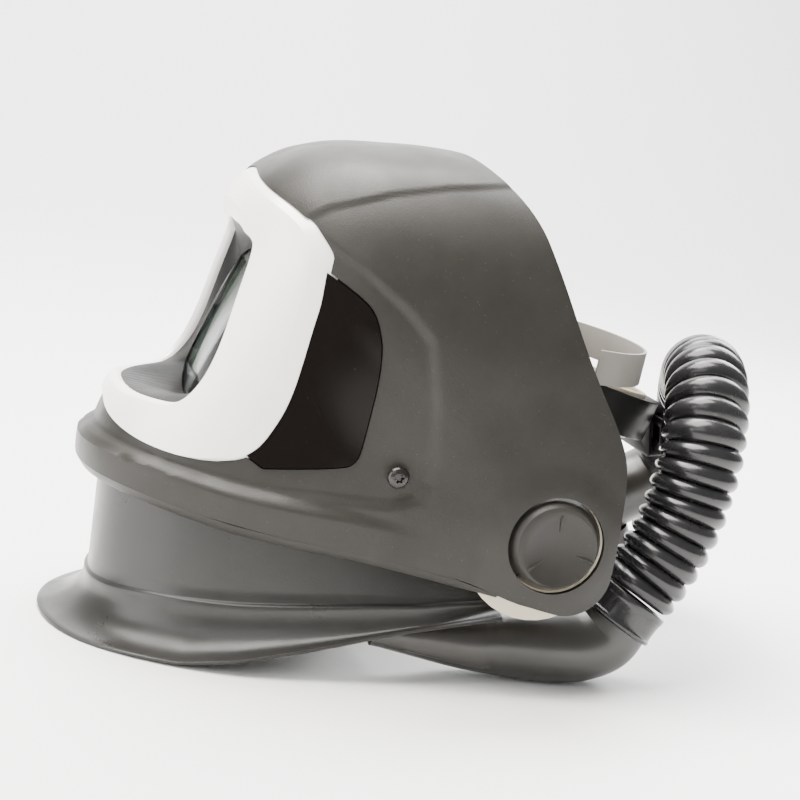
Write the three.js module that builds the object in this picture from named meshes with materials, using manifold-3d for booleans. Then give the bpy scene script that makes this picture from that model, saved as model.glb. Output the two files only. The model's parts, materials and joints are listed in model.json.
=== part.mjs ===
// Welding headtop of a powered air respirator: a flip-up shield over a clear visor and chin guard,
// with jaw air ducts, a corrugated breathing tube behind the head and an adjustable head harness.
// Millimetres. +X is the wearer's left, -Y the front, +Z up. The shield's pivot axis is parallel to X.
// Every piece is drawn in the pivot frame, whose origin is on that axis in the middle of the head;
// the last lines lift the whole group so that it stands on Z = 0 with its footprint centred.

import * as THREE from 'three';
import { mergeVertices } from 'three/addons/utils/BufferGeometryUtils.js';
import Module from 'manifold-3d';

const wasm = await Module();
wasm.setup();

// ---------------------------------------------------------------- driving dimensions

const GAP = 0.3;
const PIVOT_Y = 47.59;
const PIVOT_Z = 84.72;

// The shield is a rounded body about the pivot axis: half width, skin, and its middle profile as
// [angle above straight ahead in degrees, distance from the pivot axis].
const HALF_WIDTH = 108;
const SKIN = 3;
const PROFILE = [
  [-180, 182], [-90, 205], [-20, 228], [5, 228], [12, 229], [22, 221], [34, 216], [46, 218],
  [54, 225], [63, 216], [74, 199], [90, 183], [120, 180], [180, 182],
];
const FRONT_SQUARENESS = 2.35;
const CROWN_SQUARENESS = 3.2;
const SWELL_HEIGHT = 5;
const SWELL_RADIUS = 58;
const BAND_PROUD = 5;
const BAND_WIDTH = 26;

// Side-view points are [y, z]; front-view half outlines are [x, z], from the top of the middle down.
const LOWER_EDGE = [[-260, 38], [-200, 21], [-157, 8], [-100, -5], [-12, -32]];
const CORNER_AT = [8, -16];
const CORNER_RADIUS = 22;
const REAR_EDGE = [[37, 22], [39, 44], [19, 90], [7, 132], [-2, 163], [-26, 190], [-60, 225]];
const FRAME_OUTLINE = [
  [0, 182], [30, 178], [56, 170], [72, 161], [80, 150], [83.5, 136], [85, 90], [85.5, 54], [83, 45],
  [77, 43], [62, 48], [40, 56], [0, 68],
];
const OPENING_OUTLINE = [
  [0, 157], [30, 155], [51, 151], [57, 145], [61, 122], [64.5, 96], [65, 78], [61, 69], [50, 70], [0, 76],
];
const SIDE_WINDOW = [
  [-128, 150], [-93, 124], [-86, 114], [-84, 93], [-95, 50], [-98, 44], [-104, 41], [-165, 41],
];
const SCREW_AT = [-78, 37];

const KNOB_RADIUS = 24.6;
const KNOB_FACE_X = 117.5;
const DISC_RADIUS = 38;
const DISC_AT = [-5, -5];
const BOLT_RADIUS = 8;

// The visor frame is the same body, set further in, and the clear visor lies in its front.
const VISOR_INSET_FRONT = 61;
const VISOR_INSET_SIDE = 11;
const VISOR_SKIN = 2.6;
const JAW_SEAM = [[-260, 28], [-140, 27], [-100, 16], [-60, -4], [-26, -30]];
const VISOR_FRAME_TOP = [
  [4, -36], [16, -34], [34, -12], [34, 20], [26, 36], [-44, 60], [-62, 130], [-54, 172], [-260, 172],
];
const VISOR_OPENING = [[0, 142], [50, 138], [64, 124], [68, 96], [66, 64], [54, 46], [0, 42]];

const CHIN_HALF_WIDTH = 87.5;
const CHIN_LENGTH = 219;
const LIP_LOW = -57;

// Duct centre lines are [x, y, z]; their sections are [half width, half height] at each point.
const DUCT_JAW = [[83, -88, -50], [80, -62, -55], [76, -38, -60], [74, -14, -63], [74, 8, -66], [74, 26, -67]];
const DUCT_JAW_SECTIONS = [[4, 6], [9, 11], [15, 15], [19, 19], [20.5, 20.5], [20.5, 20.5]];
const LEFT_TAIL = [[74, 38.6, -63.3], [74, 44.8, -55.8]];
const RIGHT_TAIL = [
  [-74, 46, -59], [-75, 68, -46], [-75.5, 88, -33], [-75, 103, -26], [-74, 115, -21.5], [-72.5, 124, -16.5],
  [-69.5, 128.6, -10.5], [-66, 130.2, -4.2],
];
const DUCT_RADIUS = 20.5;
const DUCT_WALL = 2.4;
const INLET_START = [-75, 84, -36];
const INLET_DIRECTION = [0, 0.28, -0.96];
const INLET_LENGTH = 41;
const SPIGOT_RADIUS = 17.5;
const SPIGOT_LENGTH = 15;
const CUFF_RADIUS = 22.5;
const CUFF_LENGTH = 17;
const TUBE_RADIUS = 22.6;

// Breathing tube's route from the left cuff, over the nape, to the rear cuff.
const TUBE_ROUTE = [
  [74, 56.2, -41.8], [73.8, 60, -37], [73.5, 67, -28.5], [73, 74, -18.5], [72.2, 80, -8.5], [71, 85, 2],
  [69.5, 89.5, 14], [67.5, 94, 27], [63, 98, 41], [54, 102.5, 53], [41, 107, 61.5], [25, 112.3, 64],
  [8, 117.8, 62], [-8, 123.3, 57.5], [-23, 128.5, 51], [-36, 132.7, 42], [-45.5, 135.8, 31],
  [-54.4, 135.5, 16.8], [-57.75, 133.95, 10.7],
];

// The headband is an ellipse round the wearer's head that falls towards the back.
const BAND_MIDDLE = new THREE.Vector3(0, 10, 72);
const BAND_FALL = THREE.MathUtils.degToRad(24);
const HEAD_HALF_WIDTH = 76;
const HEAD_HALF_LENGTH = 82;
const BAND_HEIGHT = 22;
const BAND_THICKNESS = 2;
const STRAP_WIDTH = 18;
const STRAP_THICKNESS = 1.6;

// Resting on the chin lip and the ducts, the headtop leans forward.
const REST_LEAN = THREE.MathUtils.degToRad(8);

// ---------------------------------------------------------------- materials

const SHELL_GREY = { color: 0x5d5955, roughness: 0.62, metalness: 0.05 };
const CHIN_GREY = { color: 0x55524f, roughness: 0.5, metalness: 0.05 };
const SILVER = { color: 0xe4e2da, roughness: 0.35, metalness: 0.25 };
const SMOKED = { color: 0x1c1512, roughness: 0.08, metalness: 0.0 };
const CLEAR = { color: 0xc8d4d6, roughness: 0.05, metalness: 0.0 };
const FILTER = { color: 0x182820, roughness: 0.08, metalness: 0.1 };
const BLACK_PLASTIC = { color: 0x1d1c1c, roughness: 0.45, metalness: 0.0 };
const DUCT_PLASTIC = { color: 0x37332f, roughness: 0.35, metalness: 0.0 };
const TUBE_RUBBER = { color: 0x17171a, roughness: 0.25, metalness: 0.0 };
const CREAM = { color: 0xd9cfba, roughness: 0.5, metalness: 0.0 };
const STRAP_GREY = { color: 0xaba59c, roughness: 0.55, metalness: 0.0 };
const FABRIC = { color: 0x2a2a2d, roughness: 0.95, metalness: 0.0 };
const STEEL = { color: 0x2e2c2b, roughness: 0.3, metalness: 0.9 };

const headtop = new THREE.Group();

function piece(name, geometry, look) {
  const mesh = new THREE.Mesh(geometry, new THREE.MeshStandardMaterial(look));
  mesh.name = name;
  headtop.add(mesh);
  return mesh;
}

// ---------------------------------------------------------------- solids and cuts

function toSolid(geometry) {
  const bare = geometry.clone();
  bare.deleteAttribute('normal');
  bare.deleteAttribute('uv');
  const merged = mergeVertices(bare, 1e-4);
  const mesh = new wasm.Mesh({
    numProp: 3,
    vertProperties: new Float32Array(merged.attributes.position.array),
    triVerts: new Uint32Array(merged.index.array),
  });
  mesh.merge();
  return new wasm.Manifold(mesh);
}

function toGeometry(solid) {
  const mesh = solid.getMesh();
  const geometry = new THREE.BufferGeometry();
  geometry.setAttribute('position', new THREE.BufferAttribute(mesh.vertProperties, 3));
  geometry.setIndex(new THREE.BufferAttribute(mesh.triVerts, 1));
  return geometry;
}

function pointsFacingOut(positions, triangles) {
  const corner = (i) => new THREE.Vector3().fromArray(positions, 3 * i);
  let volume = 0;
  for (let t = 0; t < triangles.length; t += 3) {
    const [a, b, c] = [corner(triangles[t]), corner(triangles[t + 1]), corner(triangles[t + 2])];
    volume += a.dot(b.cross(c));
  }
  if (volume < 0) {
    triangles.reverse();
  }
  const geometry = new THREE.BufferGeometry();
  geometry.setAttribute('position', new THREE.Float32BufferAttribute(positions, 3));
  geometry.setIndex(triangles);
  return geometry;
}

// Closed solid through a row of matching outlines; each station is { at, u, v, outline }.
function loft(stations, closed = false) {
  const positions = [];
  const triangles = [];
  const count = stations[0].outline.length;
  for (const { at, u, v, outline } of stations) {
    for (const [a, b] of outline) {
      const point = at.clone().addScaledVector(u, a).addScaledVector(v, b);
      positions.push(...point.toArray());
    }
  }
  for (let s = 0; s < stations.length - (closed ? 0 : 1); s += 1) {
    const next = (s + 1) % stations.length;
    for (let i = 0; i < count; i += 1) {
      const j = (i + 1) % count;
      const [a, b, c, d] = [s * count + i, s * count + j, next * count + j, next * count + i];
      triangles.push(a, b, c, a, c, d);
    }
  }
  if (closed) {
    return pointsFacingOut(positions, triangles);
  }
  const capOf = (outline) =>
    THREE.ShapeUtils.triangulateShape(outline.map(([a, b]) => new THREE.Vector2(a, b)), []);
  const turn = Math.sign(THREE.ShapeUtils.area(stations[0].outline.map(([a, b]) => ({ x: a, y: b }))));
  const last = (stations.length - 1) * count;
  for (const [a, b, c] of capOf(stations[0].outline)) {
    triangles.push(...(turn > 0 ? [a, c, b] : [a, b, c]));
  }
  for (const [a, b, c] of capOf(stations.at(-1).outline)) {
    triangles.push(...(turn > 0 ? [last + a, last + b, last + c] : [last + a, last + c, last + b]));
  }
  return pointsFacingOut(positions, triangles);
}

function prismAlongX(outline, fromX, toX) {
  const axes = { u: new THREE.Vector3(0, 1, 0), v: new THREE.Vector3(0, 0, 1), outline };
  return loft([
    { at: new THREE.Vector3(fromX, 0, 0), ...axes },
    { at: new THREE.Vector3(toX, 0, 0), ...axes },
  ]);
}

function prismAlongY(outline, fromY, toY) {
  const axes = { u: new THREE.Vector3(1, 0, 0), v: new THREE.Vector3(0, 0, 1), outline };
  return loft([
    { at: new THREE.Vector3(0, fromY, 0), ...axes },
    { at: new THREE.Vector3(0, toY, 0), ...axes },
  ]);
}

// A half outline given for x >= 0, from the top of the middle line down, made whole.
function bothSides(half) {
  const mirrored = half.filter(([x]) => x > 0).map(([x, z]) => [-x, z]);
  return [...half, ...mirrored.reverse()];
}

// An outline moved outward by a distance, about its own middle.
function grown(outline, distance) {
  const count = outline.length;
  const area = THREE.ShapeUtils.area(outline.map(([a, b]) => ({ x: a, y: b })));
  return outline.map(([a, b], i) => {
    const [pa, pb] = outline[(i + count - 1) % count];
    const [na, nb] = outline[(i + 1) % count];
    const before = new THREE.Vector2(b - pb, pa - a).normalize();
    const after = new THREE.Vector2(nb - b, a - na).normalize();
    const normal = before.add(after).normalize();
    const stretch = Math.sign(area) * distance / Math.max(0.5, normal.dot(after));
    return [a + normal.x * stretch, b + normal.y * stretch];
  });
}

function arcPoints(radius, fromDegrees, toDegrees, steps) {
  return Array.from({ length: steps + 1 }, (_, i) => {
    const angle = THREE.MathUtils.degToRad(fromDegrees + ((toDegrees - fromDegrees) * i) / steps);
    return [radius * Math.cos(angle), radius * Math.sin(angle)];
  });
}

// A disc or stepped turning about a line parallel to X; the profile is [radius, x] pairs.
function turnedAboutX(profile, [y, z], segments = 24) {
  const outline = profile.map(([radius, x]) => new THREE.Vector2(radius, x));
  const geometry = new THREE.LatheGeometry(outline, segments);
  geometry.rotateZ(-Math.PI / 2);
  geometry.translate(0, y, z);
  return pointsFacingOut([...mergedPositions(geometry)], [...mergedIndex(geometry)]);
}

function mergedOf(geometry) {
  const bare = geometry.clone();
  bare.deleteAttribute('normal');
  bare.deleteAttribute('uv');
  return mergeVertices(bare, 1e-4);
}

function mergedPositions(geometry) {
  return mergedOf(geometry).attributes.position.array;
}

function mergedIndex(geometry) {
  const index = mergedOf(geometry).index.array;
  const kept = [];
  for (let t = 0; t < index.length; t += 3) {
    const [a, b, c] = [index[t], index[t + 1], index[t + 2]];
    if (a !== b && b !== c && c !== a) {
      kept.push(a, b, c);
    }
  }
  return kept;
}

function cylinderAboutX(radius, fromX, toX, [y, z] = [0, 0], segments = 24) {
  return turnedAboutX([[0, fromX], [radius, fromX], [radius, toX], [0, toX]], [y, z], segments);
}

function mirroredX(geometry) {
  const positions = [...geometry.attributes.position.array];
  for (let i = 0; i < positions.length; i += 3) {
    positions[i] = -positions[i];
  }
  return pointsFacingOut(positions, [...geometry.index.array]);
}

function pair(name, geometry, look) {
  piece(`${name}_left`, geometry, look);
  piece(`${name}_right`, mirroredX(geometry), look);
}

// ---------------------------------------------------------------- the rounded body

const smooth = (t) => THREE.MathUtils.smoothstep(t, 0, 1);

function alongTable(table, at) {
  const next = Math.max(1, table.findIndex(([x]) => x >= at));
  const [x0, y0] = table[next - 1];
  const [x1, y1] = table[next];
  const slope = (a, b) => (b[1] - a[1]) / (b[0] - a[0]);
  const before = table[next - 2] ?? table[next - 1];
  const after = table[next + 1] ?? table[next];
  const width = x1 - x0;
  const start = slope(before, table[next]) * width;
  const end = slope(table[next - 1], after) * width;
  const t = (at - x0) / width;
  const [t2, t3] = [t * t, t * t * t];
  return (2 * t3 - 3 * t2 + 1) * y0 + (t3 - 2 * t2 + t) * start
    + (3 * t2 - 2 * t3) * y1 + (t3 - t2) * end;
}

// Height of a side-view point above the shield's lower edge.
function aboveLowerEdge(y, z) {
  const next = Math.max(1, LOWER_EDGE.findIndex(([edgeY]) => edgeY >= y));
  const [[y0, z0], [y1, z1]] = LOWER_EDGE.slice(next - 1, next + 1);
  return z - (z0 + ((y - y0) * (z1 - z0)) / (y1 - y0));
}

// A point of the rounded body: turn is the angle above straight ahead, side runs from -90 to 90.
function bodyPoint(turn, side, insetFront, insetSide, detailed) {
  const crown = smooth((Math.abs(turn + 15) - 40) / 50);
  const power = 2 / THREE.MathUtils.lerp(FRONT_SQUARENESS, CROWN_SQUARENESS, crown);
  const sideAngle = THREE.MathUtils.degToRad(side);
  const reach = (alongTable(PROFILE, turn) - insetFront) * Math.abs(Math.cos(sideAngle)) ** power;
  const angle = THREE.MathUtils.degToRad(turn);
  const [y, z] = [-reach * Math.cos(angle), reach * Math.sin(angle)];
  const sine = Math.sin(sideAngle);
  const across = (HALF_WIDTH - insetSide) * Math.abs(sine) ** power;
  const swell = detailed ? SWELL_HEIGHT * smooth(1.35 - reach / SWELL_RADIUS) : 0;
  const inBand = detailed ? smooth((BAND_WIDTH - aboveLowerEdge(y, z)) / 5) * smooth((-60 - y) / 80) : 0;
  const point = new THREE.Vector3(Math.sign(sine) * (across + swell), y, z);
  return point.addScaledVector(point.clone().normalize(), BAND_PROUD * inBand);
}

// The whole rounded body as one closed solid, from pole to pole across the head.
function roundedBody(insetFront, insetSide, detailed = false) {
  const [around, across] = detailed ? [60, 30] : [48, 24];
  const positions = [];
  const triangles = [];
  for (const side of [-90, 90]) {
    positions.push(...bodyPoint(0, side, insetFront, insetSide, detailed).toArray());
  }
  for (let j = 1; j < across; j += 1) {
    for (let i = 0; i < around; i += 1) {
      const turn = -180 + (360 * i) / around;
      const side = -90 + (180 * j) / across;
      positions.push(...bodyPoint(turn, side, insetFront, insetSide, detailed).toArray());
    }
  }
  const at = (i, j) => 2 + (j - 1) * around + (i % around);
  for (let i = 0; i < around; i += 1) {
    triangles.push(0, at(i, 1), at(i + 1, 1));
    triangles.push(1, at(i + 1, across - 1), at(i, across - 1));
    for (let j = 1; j < across - 1; j += 1) {
      triangles.push(at(i, j), at(i, j + 1), at(i + 1, j + 1));
      triangles.push(at(i, j), at(i + 1, j + 1), at(i + 1, j));
    }
  }
  return toSolid(pointsFacingOut(positions, triangles));
}

function layer(outer, inner) {
  return outer.subtract(inner);
}

const shieldSkin = layer(roundedBody(0, 0, true), roundedBody(SKIN, SKIN, true));
const frameCut = (distance) =>
  toSolid(prismAlongY(grown(bothSides(FRAME_OUTLINE), distance), -280, -70));
const openingCut = toSolid(prismAlongY(bothSides(OPENING_OUTLINE), -280, -60));
const sideWindowCut = (distance) => toSolid(prismAlongX(grown(SIDE_WINDOW, distance), -130, 130));

// ---------------------------------------------------------------- shield

function shieldShell() {
  const [cornerY, cornerZ] = CORNER_AT;
  const corner = arcPoints(CORNER_RADIUS, -108, -5, 7).map(([y, z]) => [y + cornerY, z + cornerZ]);
  const rim = [...LOWER_EDGE, ...corner, ...REAR_EDGE, [-260, 225]];
  let shell = shieldSkin.intersect(toSolid(prismAlongX(rim, -140, 140)));
  shell = shell.subtract(frameCut(GAP)).subtract(sideWindowCut(GAP));
  shell = shell.subtract(toSolid(cylinderAboutX(KNOB_RADIUS + 0.4, -140, 140)));
  return shell.subtract(toSolid(cylinderAboutX(2.6, -140, 140, SCREW_AT, 12)));
}

function frontFrame() {
  const slab = layer(roundedBody(-1.2, -1.2), roundedBody(SKIN + 3, SKIN + 2));
  return slab.intersect(frameCut(-GAP)).subtract(openingCut);
}

function sideWindow() {
  const pane = layer(roundedBody(0.6, 0.6), roundedBody(2.6, 2.6));
  const leftHalf = toSolid(prismAlongX([[-280, -20], [0, -20], [0, 200], [-280, 200]], 30, 140));
  return pane.intersect(sideWindowCut(-GAP)).subtract(frameCut(2)).intersect(leftHalf);
}

piece('shield_shell', toGeometry(shieldShell()), SHELL_GREY);
piece('front_frame', toGeometry(frontFrame()), SILVER);
pair('side_window', toGeometry(sideWindow()), SMOKED);

// The filter cassette leans back with the window. Its own axes are x across, v up the slope.
const WINDOW_LEAN = THREE.MathUtils.degToRad(29);
const WINDOW_MIDDLE = new THREE.Vector3(0, -153, 101);
const SLOPE_UP = new THREE.Vector3(0, Math.sin(WINDOW_LEAN), Math.cos(WINDOW_LEAN));
const INWARD = new THREE.Vector3(0, Math.cos(WINDOW_LEAN), -Math.sin(WINDOW_LEAN));

function windowSlab(outline, fromDepth, toDepth) {
  const axes = { u: new THREE.Vector3(1, 0, 0), v: SLOPE_UP, outline };
  return loft([
    { at: WINDOW_MIDDLE.clone().addScaledVector(INWARD, fromDepth), ...axes },
    { at: WINDOW_MIDDLE.clone().addScaledVector(INWARD, toDepth), ...axes },
  ]);
}

function rectangle(halfWidth, halfHeight, corner = 0) {
  if (corner === 0) {
    return [[-halfWidth, -halfHeight], [halfWidth, -halfHeight], [halfWidth, halfHeight],
      [-halfWidth, halfHeight]];
  }
  const [a, b] = [halfWidth - corner, halfHeight - corner];
  const corners = [[a, -b, -90], [a, b, 0], [-a, b, 90], [-a, -b, 180]];
  return corners.flatMap(([ca, cb, from]) =>
    arcPoints(corner, from, from + 90, 3).map(([da, db]) => [ca + da, cb + db]));
}

const FILTER_HALF = [55, 45];
const GLASS_HALF = [47, 33];

function filterCassette() {
  const [halfWidth, halfHeight] = FILTER_HALF;
  const block = toSolid(windowSlab(rectangle(halfWidth, halfHeight, 6), 2.6, 13));
  const well = toSolid(windowSlab(rectangle(...GLASS_HALF, 3), 0, 20));
  const holes = [-24, 0, 24].map((x) =>
    toSolid(windowSlab(rectangle(5.3, 3.3).map(([a, b]) => [a + x, b - 39.5]), 10.2, 20)));
  return holes.reduce((body, hole) => body.subtract(hole), block.subtract(well));
}

piece('filter_cassette', toGeometry(filterCassette()), BLACK_PLASTIC);
piece('filter_glass', windowSlab(rectangle(46.6, 32.6, 2.6), 4, 9), FILTER);
piece('outer_cover_plate', windowSlab(rectangle(54, 44, 6), 1, 2.2), CLEAR);
piece('inner_cover_plate', windowSlab(rectangle(46.6, 32.6, 2.6), 11.2, 12.6), CLEAR);
for (const [name, x] of [['shade', -24], ['sensitivity', 0], ['delay', 24]]) {
  const face = rectangle(5, 3).map(([a, b]) => [a + x, b - 39.5]);
  piece(`${name}_button`, windowSlab(face, 11.5, 14.4), BLACK_PLASTIC);
}

// A button-head screw on each side holds the side window's inner clip.
function sideScrew() {
  const surface = 103.6;
  const head = toSolid(turnedAboutX([[0, surface - 6], [2.2, surface - 6], [2.2, surface + 0.7],
    [5.6, surface + 0.7], [5.2, surface + 2.2], [3.4, surface + 3.6], [0, surface + 3.6]], SCREW_AT, 18));
  return head.subtract(toSolid(cylinderAboutX(1.9, surface + 1.6, surface + 6, SCREW_AT, 6)));
}

pair('side_screw', toGeometry(sideScrew()), STEEL);

// ---------------------------------------------------------------- pivots

function pivotKnob() {
  const dish = [[0, KNOB_FACE_X - 4.5], [9, KNOB_FACE_X - 4.2], [15, KNOB_FACE_X - 2], [18.6, KNOB_FACE_X]];
  const rim = [[19.6, KNOB_FACE_X - 0.2], [KNOB_RADIUS - 0.8, 111], [KNOB_RADIUS, 109.5],
    [KNOB_RADIUS, 104], [0, 104]];
  return turnedAboutX([...dish, ...rim], [0, 0], 36);
}

pair('pivot_knob', pivotKnob(), SHELL_GREY);
pair('pivot_bolt', turnedAboutX([[0, 79], [BOLT_RADIUS - 2.4, 79], [BOLT_RADIUS - 2.4, 89.6],
  [12, 89.6], [12, 93.6], [BOLT_RADIUS, 93.6], [BOLT_RADIUS, 103.5], [0, 103.5]], [0, 0]), STEEL);

function pivotDisc() {
  const disc = toSolid(cylinderAboutX(DISC_RADIUS, 98.2, 101.2, DISC_AT, 36));
  return disc.subtract(toSolid(cylinderAboutX(BOLT_RADIUS + GAP, 90, 110)));
}

pair('pivot_disc', toGeometry(pivotDisc()), CREAM);

// ---------------------------------------------------------------- visor, chin guard and seal

const visorLayer = layer(
  roundedBody(VISOR_INSET_FRONT, VISOR_INSET_SIDE),
  roundedBody(VISOR_INSET_FRONT + VISOR_SKIN, VISOR_INSET_SIDE + VISOR_SKIN),
);
const visorOpeningCut = (distance) =>
  toSolid(prismAlongY(grown(bothSides(VISOR_OPENING), distance), -280, -70));

function visorFrame() {
  const body = visorLayer.intersect(toSolid(prismAlongX([...JAW_SEAM, ...VISOR_FRAME_TOP], -140, 140)));
  return body.subtract(visorOpeningCut(0)).subtract(toSolid(cylinderAboutX(BOLT_RADIUS + GAP, -140, 140)));
}

piece('visor_frame', toGeometry(visorFrame()), BLACK_PLASTIC);
piece('clear_visor', toGeometry(visorLayer.intersect(visorOpeningCut(-GAP))), CLEAR);

// One station of a U-shaped wall that runs round the jaw, at an angle from straight ahead.
function jawStation(degrees, halfWidth, length, squareness) {
  const angle = THREE.MathUtils.degToRad(degrees);
  const power = 2 / squareness;
  const side = Math.sin(angle);
  const x = halfWidth * Math.sign(side) * Math.abs(side) ** power;
  const y = -length * Math.abs(Math.cos(angle)) ** power;
  const u = new THREE.Vector3(x / halfWidth ** 2, y / length ** 2, 0).normalize();
  return { at: new THREE.Vector3(x, y, 0), u, v: new THREE.Vector3(0, 0, 1) };
}

// Height of the seam between visor frame and chin guard, at a place along the head.
function seamHeight(y) {
  const next = JAW_SEAM.findIndex(([seamY]) => seamY >= y);
  const [[y0, z0], [y1, z1]] = next > 0 ? JAW_SEAM.slice(next - 1, next + 1) : JAW_SEAM.slice(-2);
  return z0 + ((y - y0) * (z1 - z0)) / (y1 - y0);
}

// Wall section, [outward, z]: from the shelf behind the shield down to the flared lip.
function chinSection(fromFront, y) {
  const top = seamHeight(y) - 4 * GAP;
  const waist = Math.min(-24, top - 5);
  const foot = waist - 6;
  const lipOut = 35 - 8 * smooth(fromFront / 60) - 17 * smooth((fromFront - 45) / 35);
  const lipRise = 10 - 8 * smooth(fromFront / 45) + 17 * smooth((fromFront - 50) / 34);
  const lipZ = Math.min(LIP_LOW + lipRise, foot - 3);
  const shelf = 8 + 44 * smooth((70 - fromFront) / 50);
  return [
    [-shelf, top], [-2, top], [0, top - 3], [8, waist], [11, foot],
    [lipOut, lipZ], [lipOut - 2, lipZ - 3], [7, foot - 3], [4.5, waist - 2], [-3, top - 5.5],
    [-shelf, top - 3],
  ];
}

function chinGuard() {
  const steps = 32;
  return loft(Array.from({ length: steps + 1 }, (_, i) => {
    const degrees = -84 + (168 * i) / steps;
    const station = jawStation(degrees, CHIN_HALF_WIDTH, CHIN_LENGTH, FRONT_SQUARENESS);
    return { ...station, outline: chinSection(Math.abs(degrees), station.at.y) };
  }));
}

piece('chin_guard', chinGuard(), CHIN_GREY);

// ---------------------------------------------------------------- air ducts and breathing tube

function ellipse(halfA, halfB, steps) {
  return Array.from({ length: steps }, (_, i) => {
    const angle = (2 * Math.PI * i) / steps;
    return [halfA * Math.cos(angle), halfB * Math.sin(angle)];
  });
}

// Stations square to a smooth line through the given points, with sections given at each point.
function alongPath(points, sectionAt, stepsPerSpan, sides) {
  const path = new THREE.CatmullRomCurve3(points.map((p) => new THREE.Vector3(...p)), false, 'centripetal');
  const steps = (points.length - 1) * stepsPerSpan;
  const ahead = new THREE.Vector3();
  let u = new THREE.Vector3(1, 0, 0);
  return Array.from({ length: steps + 1 }, (_, i) => {
    path.getTangent(i / steps, ahead);
    u = u.clone().addScaledVector(ahead, -u.dot(ahead)).normalize();
    const outline = ellipse(...sectionAt(i / stepsPerSpan), sides);
    return { at: path.getPoint(i / steps), u, v: new THREE.Vector3().crossVectors(ahead, u), outline };
  });
}

function between(sections, place) {
  const first = Math.min(sections.length - 1, Math.floor(place));
  const next = Math.min(sections.length - 1, first + 1);
  const t = place - first;
  return sections[first].map((value, k) => value + (sections[next][k] - value) * t);
}

function lastDirection(points) {
  const [from, to] = points.slice(-2).map((p) => new THREE.Vector3(...p));
  return to.sub(from).normalize();
}

// A round tube or disc along a direction; the profile is [radius, distance along].
function turnedAlong(profile, start, direction, segments = 24) {
  const geometry = new THREE.LatheGeometry(profile.map((p) => new THREE.Vector2(...p)), segments);
  geometry.applyQuaternion(new THREE.Quaternion().setFromUnitVectors(new THREE.Vector3(0, 1, 0), direction));
  geometry.translate(...start.toArray());
  return pointsFacingOut([...mergedPositions(geometry)], mergedIndex(geometry));
}

const mirrorPath = (points) => points.map(([x, y, z]) => [-x, y, z]);

// Each duct is a flattened jaw piece that rounds out into a pipe, with plain hollow spigots on it.
function airDuct(points, spigots) {
  const sections = points.map((_, i) => DUCT_JAW_SECTIONS[i] ?? [DUCT_RADIUS, DUCT_RADIUS]);
  const inner = sections.map(([a, b]) => [a - DUCT_WALL, b - DUCT_WALL]);
  const pipe = toSolid(loft(alongPath(points, (place) => between(sections, place), 1, 16)));
  const bore = toSolid(loft(alongPath(points.slice(2), (place) => between(inner, place + 2), 1, 16)));
  const rods = (radius, extra) => spigots.map(({ start, direction, length }) => toSolid(turnedAlong(
    [[0, -4], [radius, -4], [radius, length + extra], [0, length + extra]], start, direction)));
  const solid = rods(SPIGOT_RADIUS, 0).reduce((body, rod) => body.add(rod), pipe);
  return rods(SPIGOT_RADIUS - DUCT_WALL, 5).reduce((body, rod) => body.subtract(rod), solid.subtract(bore));
}

function endSpigot(points) {
  return { start: new THREE.Vector3(...points.at(-1)), direction: lastDirection(points), length: SPIGOT_LENGTH };
}

// Slots let the air out of the jaw piece towards the visor.
function slotCuts(side) {
  return [-62, -50, -38].map((y) => {
    const cut = new THREE.BoxGeometry(24, 5, 12);
    cut.translate(side * 64, y, -46);
    return toSolid(cut);
  });
}

const leftPath = [...DUCT_JAW, ...LEFT_TAIL];
const rightPath = [...mirrorPath(DUCT_JAW), ...RIGHT_TAIL];
const inlet = {
  start: new THREE.Vector3(...INLET_START),
  direction: new THREE.Vector3(...INLET_DIRECTION),
  length: INLET_LENGTH,
};
const leftDuct = airDuct(leftPath, [endSpigot(leftPath)]);
const rightDuct = airDuct(rightPath, [endSpigot(rightPath), inlet]);
for (const [name, duct, side] of [['left', leftDuct, 1], ['right', rightDuct, -1]]) {
  const slotted = slotCuts(side).reduce((body, cut) => body.subtract(cut), duct);
  piece(`air_duct_${name}`, toGeometry(slotted), DUCT_PLASTIC);
}

// The collar on the supply inlet ends in a flat ring for the hose that comes from the blower.
piece('supply_inlet', turnedAlong([
  [SPIGOT_RADIUS + GAP, INLET_LENGTH - 11], [21, INLET_LENGTH - 11], [22, INLET_LENGTH - 9],
  [22, INLET_LENGTH + 1], [SPIGOT_RADIUS + GAP, INLET_LENGTH + 1], [SPIGOT_RADIUS + GAP, INLET_LENGTH - 11],
], inlet.start, inlet.direction), BLACK_PLASTIC);

// The cuffs are stiff collars that push over the spigots and hold the corrugated tube's ends.
function tubeCuff(path) {
  const { start, direction } = endSpigot(path);
  const bore = SPIGOT_RADIUS + GAP;
  return turnedAlong([
    [bore, GAP], [CUFF_RADIUS, GAP], [CUFF_RADIUS, 2.5], [CUFF_RADIUS - 1, 3.5],
    [CUFF_RADIUS - 1, CUFF_LENGTH], [bore, CUFF_LENGTH], [bore, GAP],
  ], start, direction);
}

piece('tube_cuff_left', tubeCuff(leftPath), TUBE_RUBBER);
piece('tube_cuff_rear', tubeCuff(rightPath), TUBE_RUBBER);

function breathingTube() {
  const route = new THREE.CatmullRomCurve3(TUBE_ROUTE.map((p) => new THREE.Vector3(...p)));
  const section = new THREE.Shape(ellipse(TUBE_RADIUS, TUBE_RADIUS, 12).map((p) => new THREE.Vector2(...p)));
  return new THREE.ExtrudeGeometry(section, { steps: 20, extrudePath: route });
}

piece('breathing_tube', toGeometry(toSolid(breathingTube())), TUBE_RUBBER);

// ---------------------------------------------------------------- head harness

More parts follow.
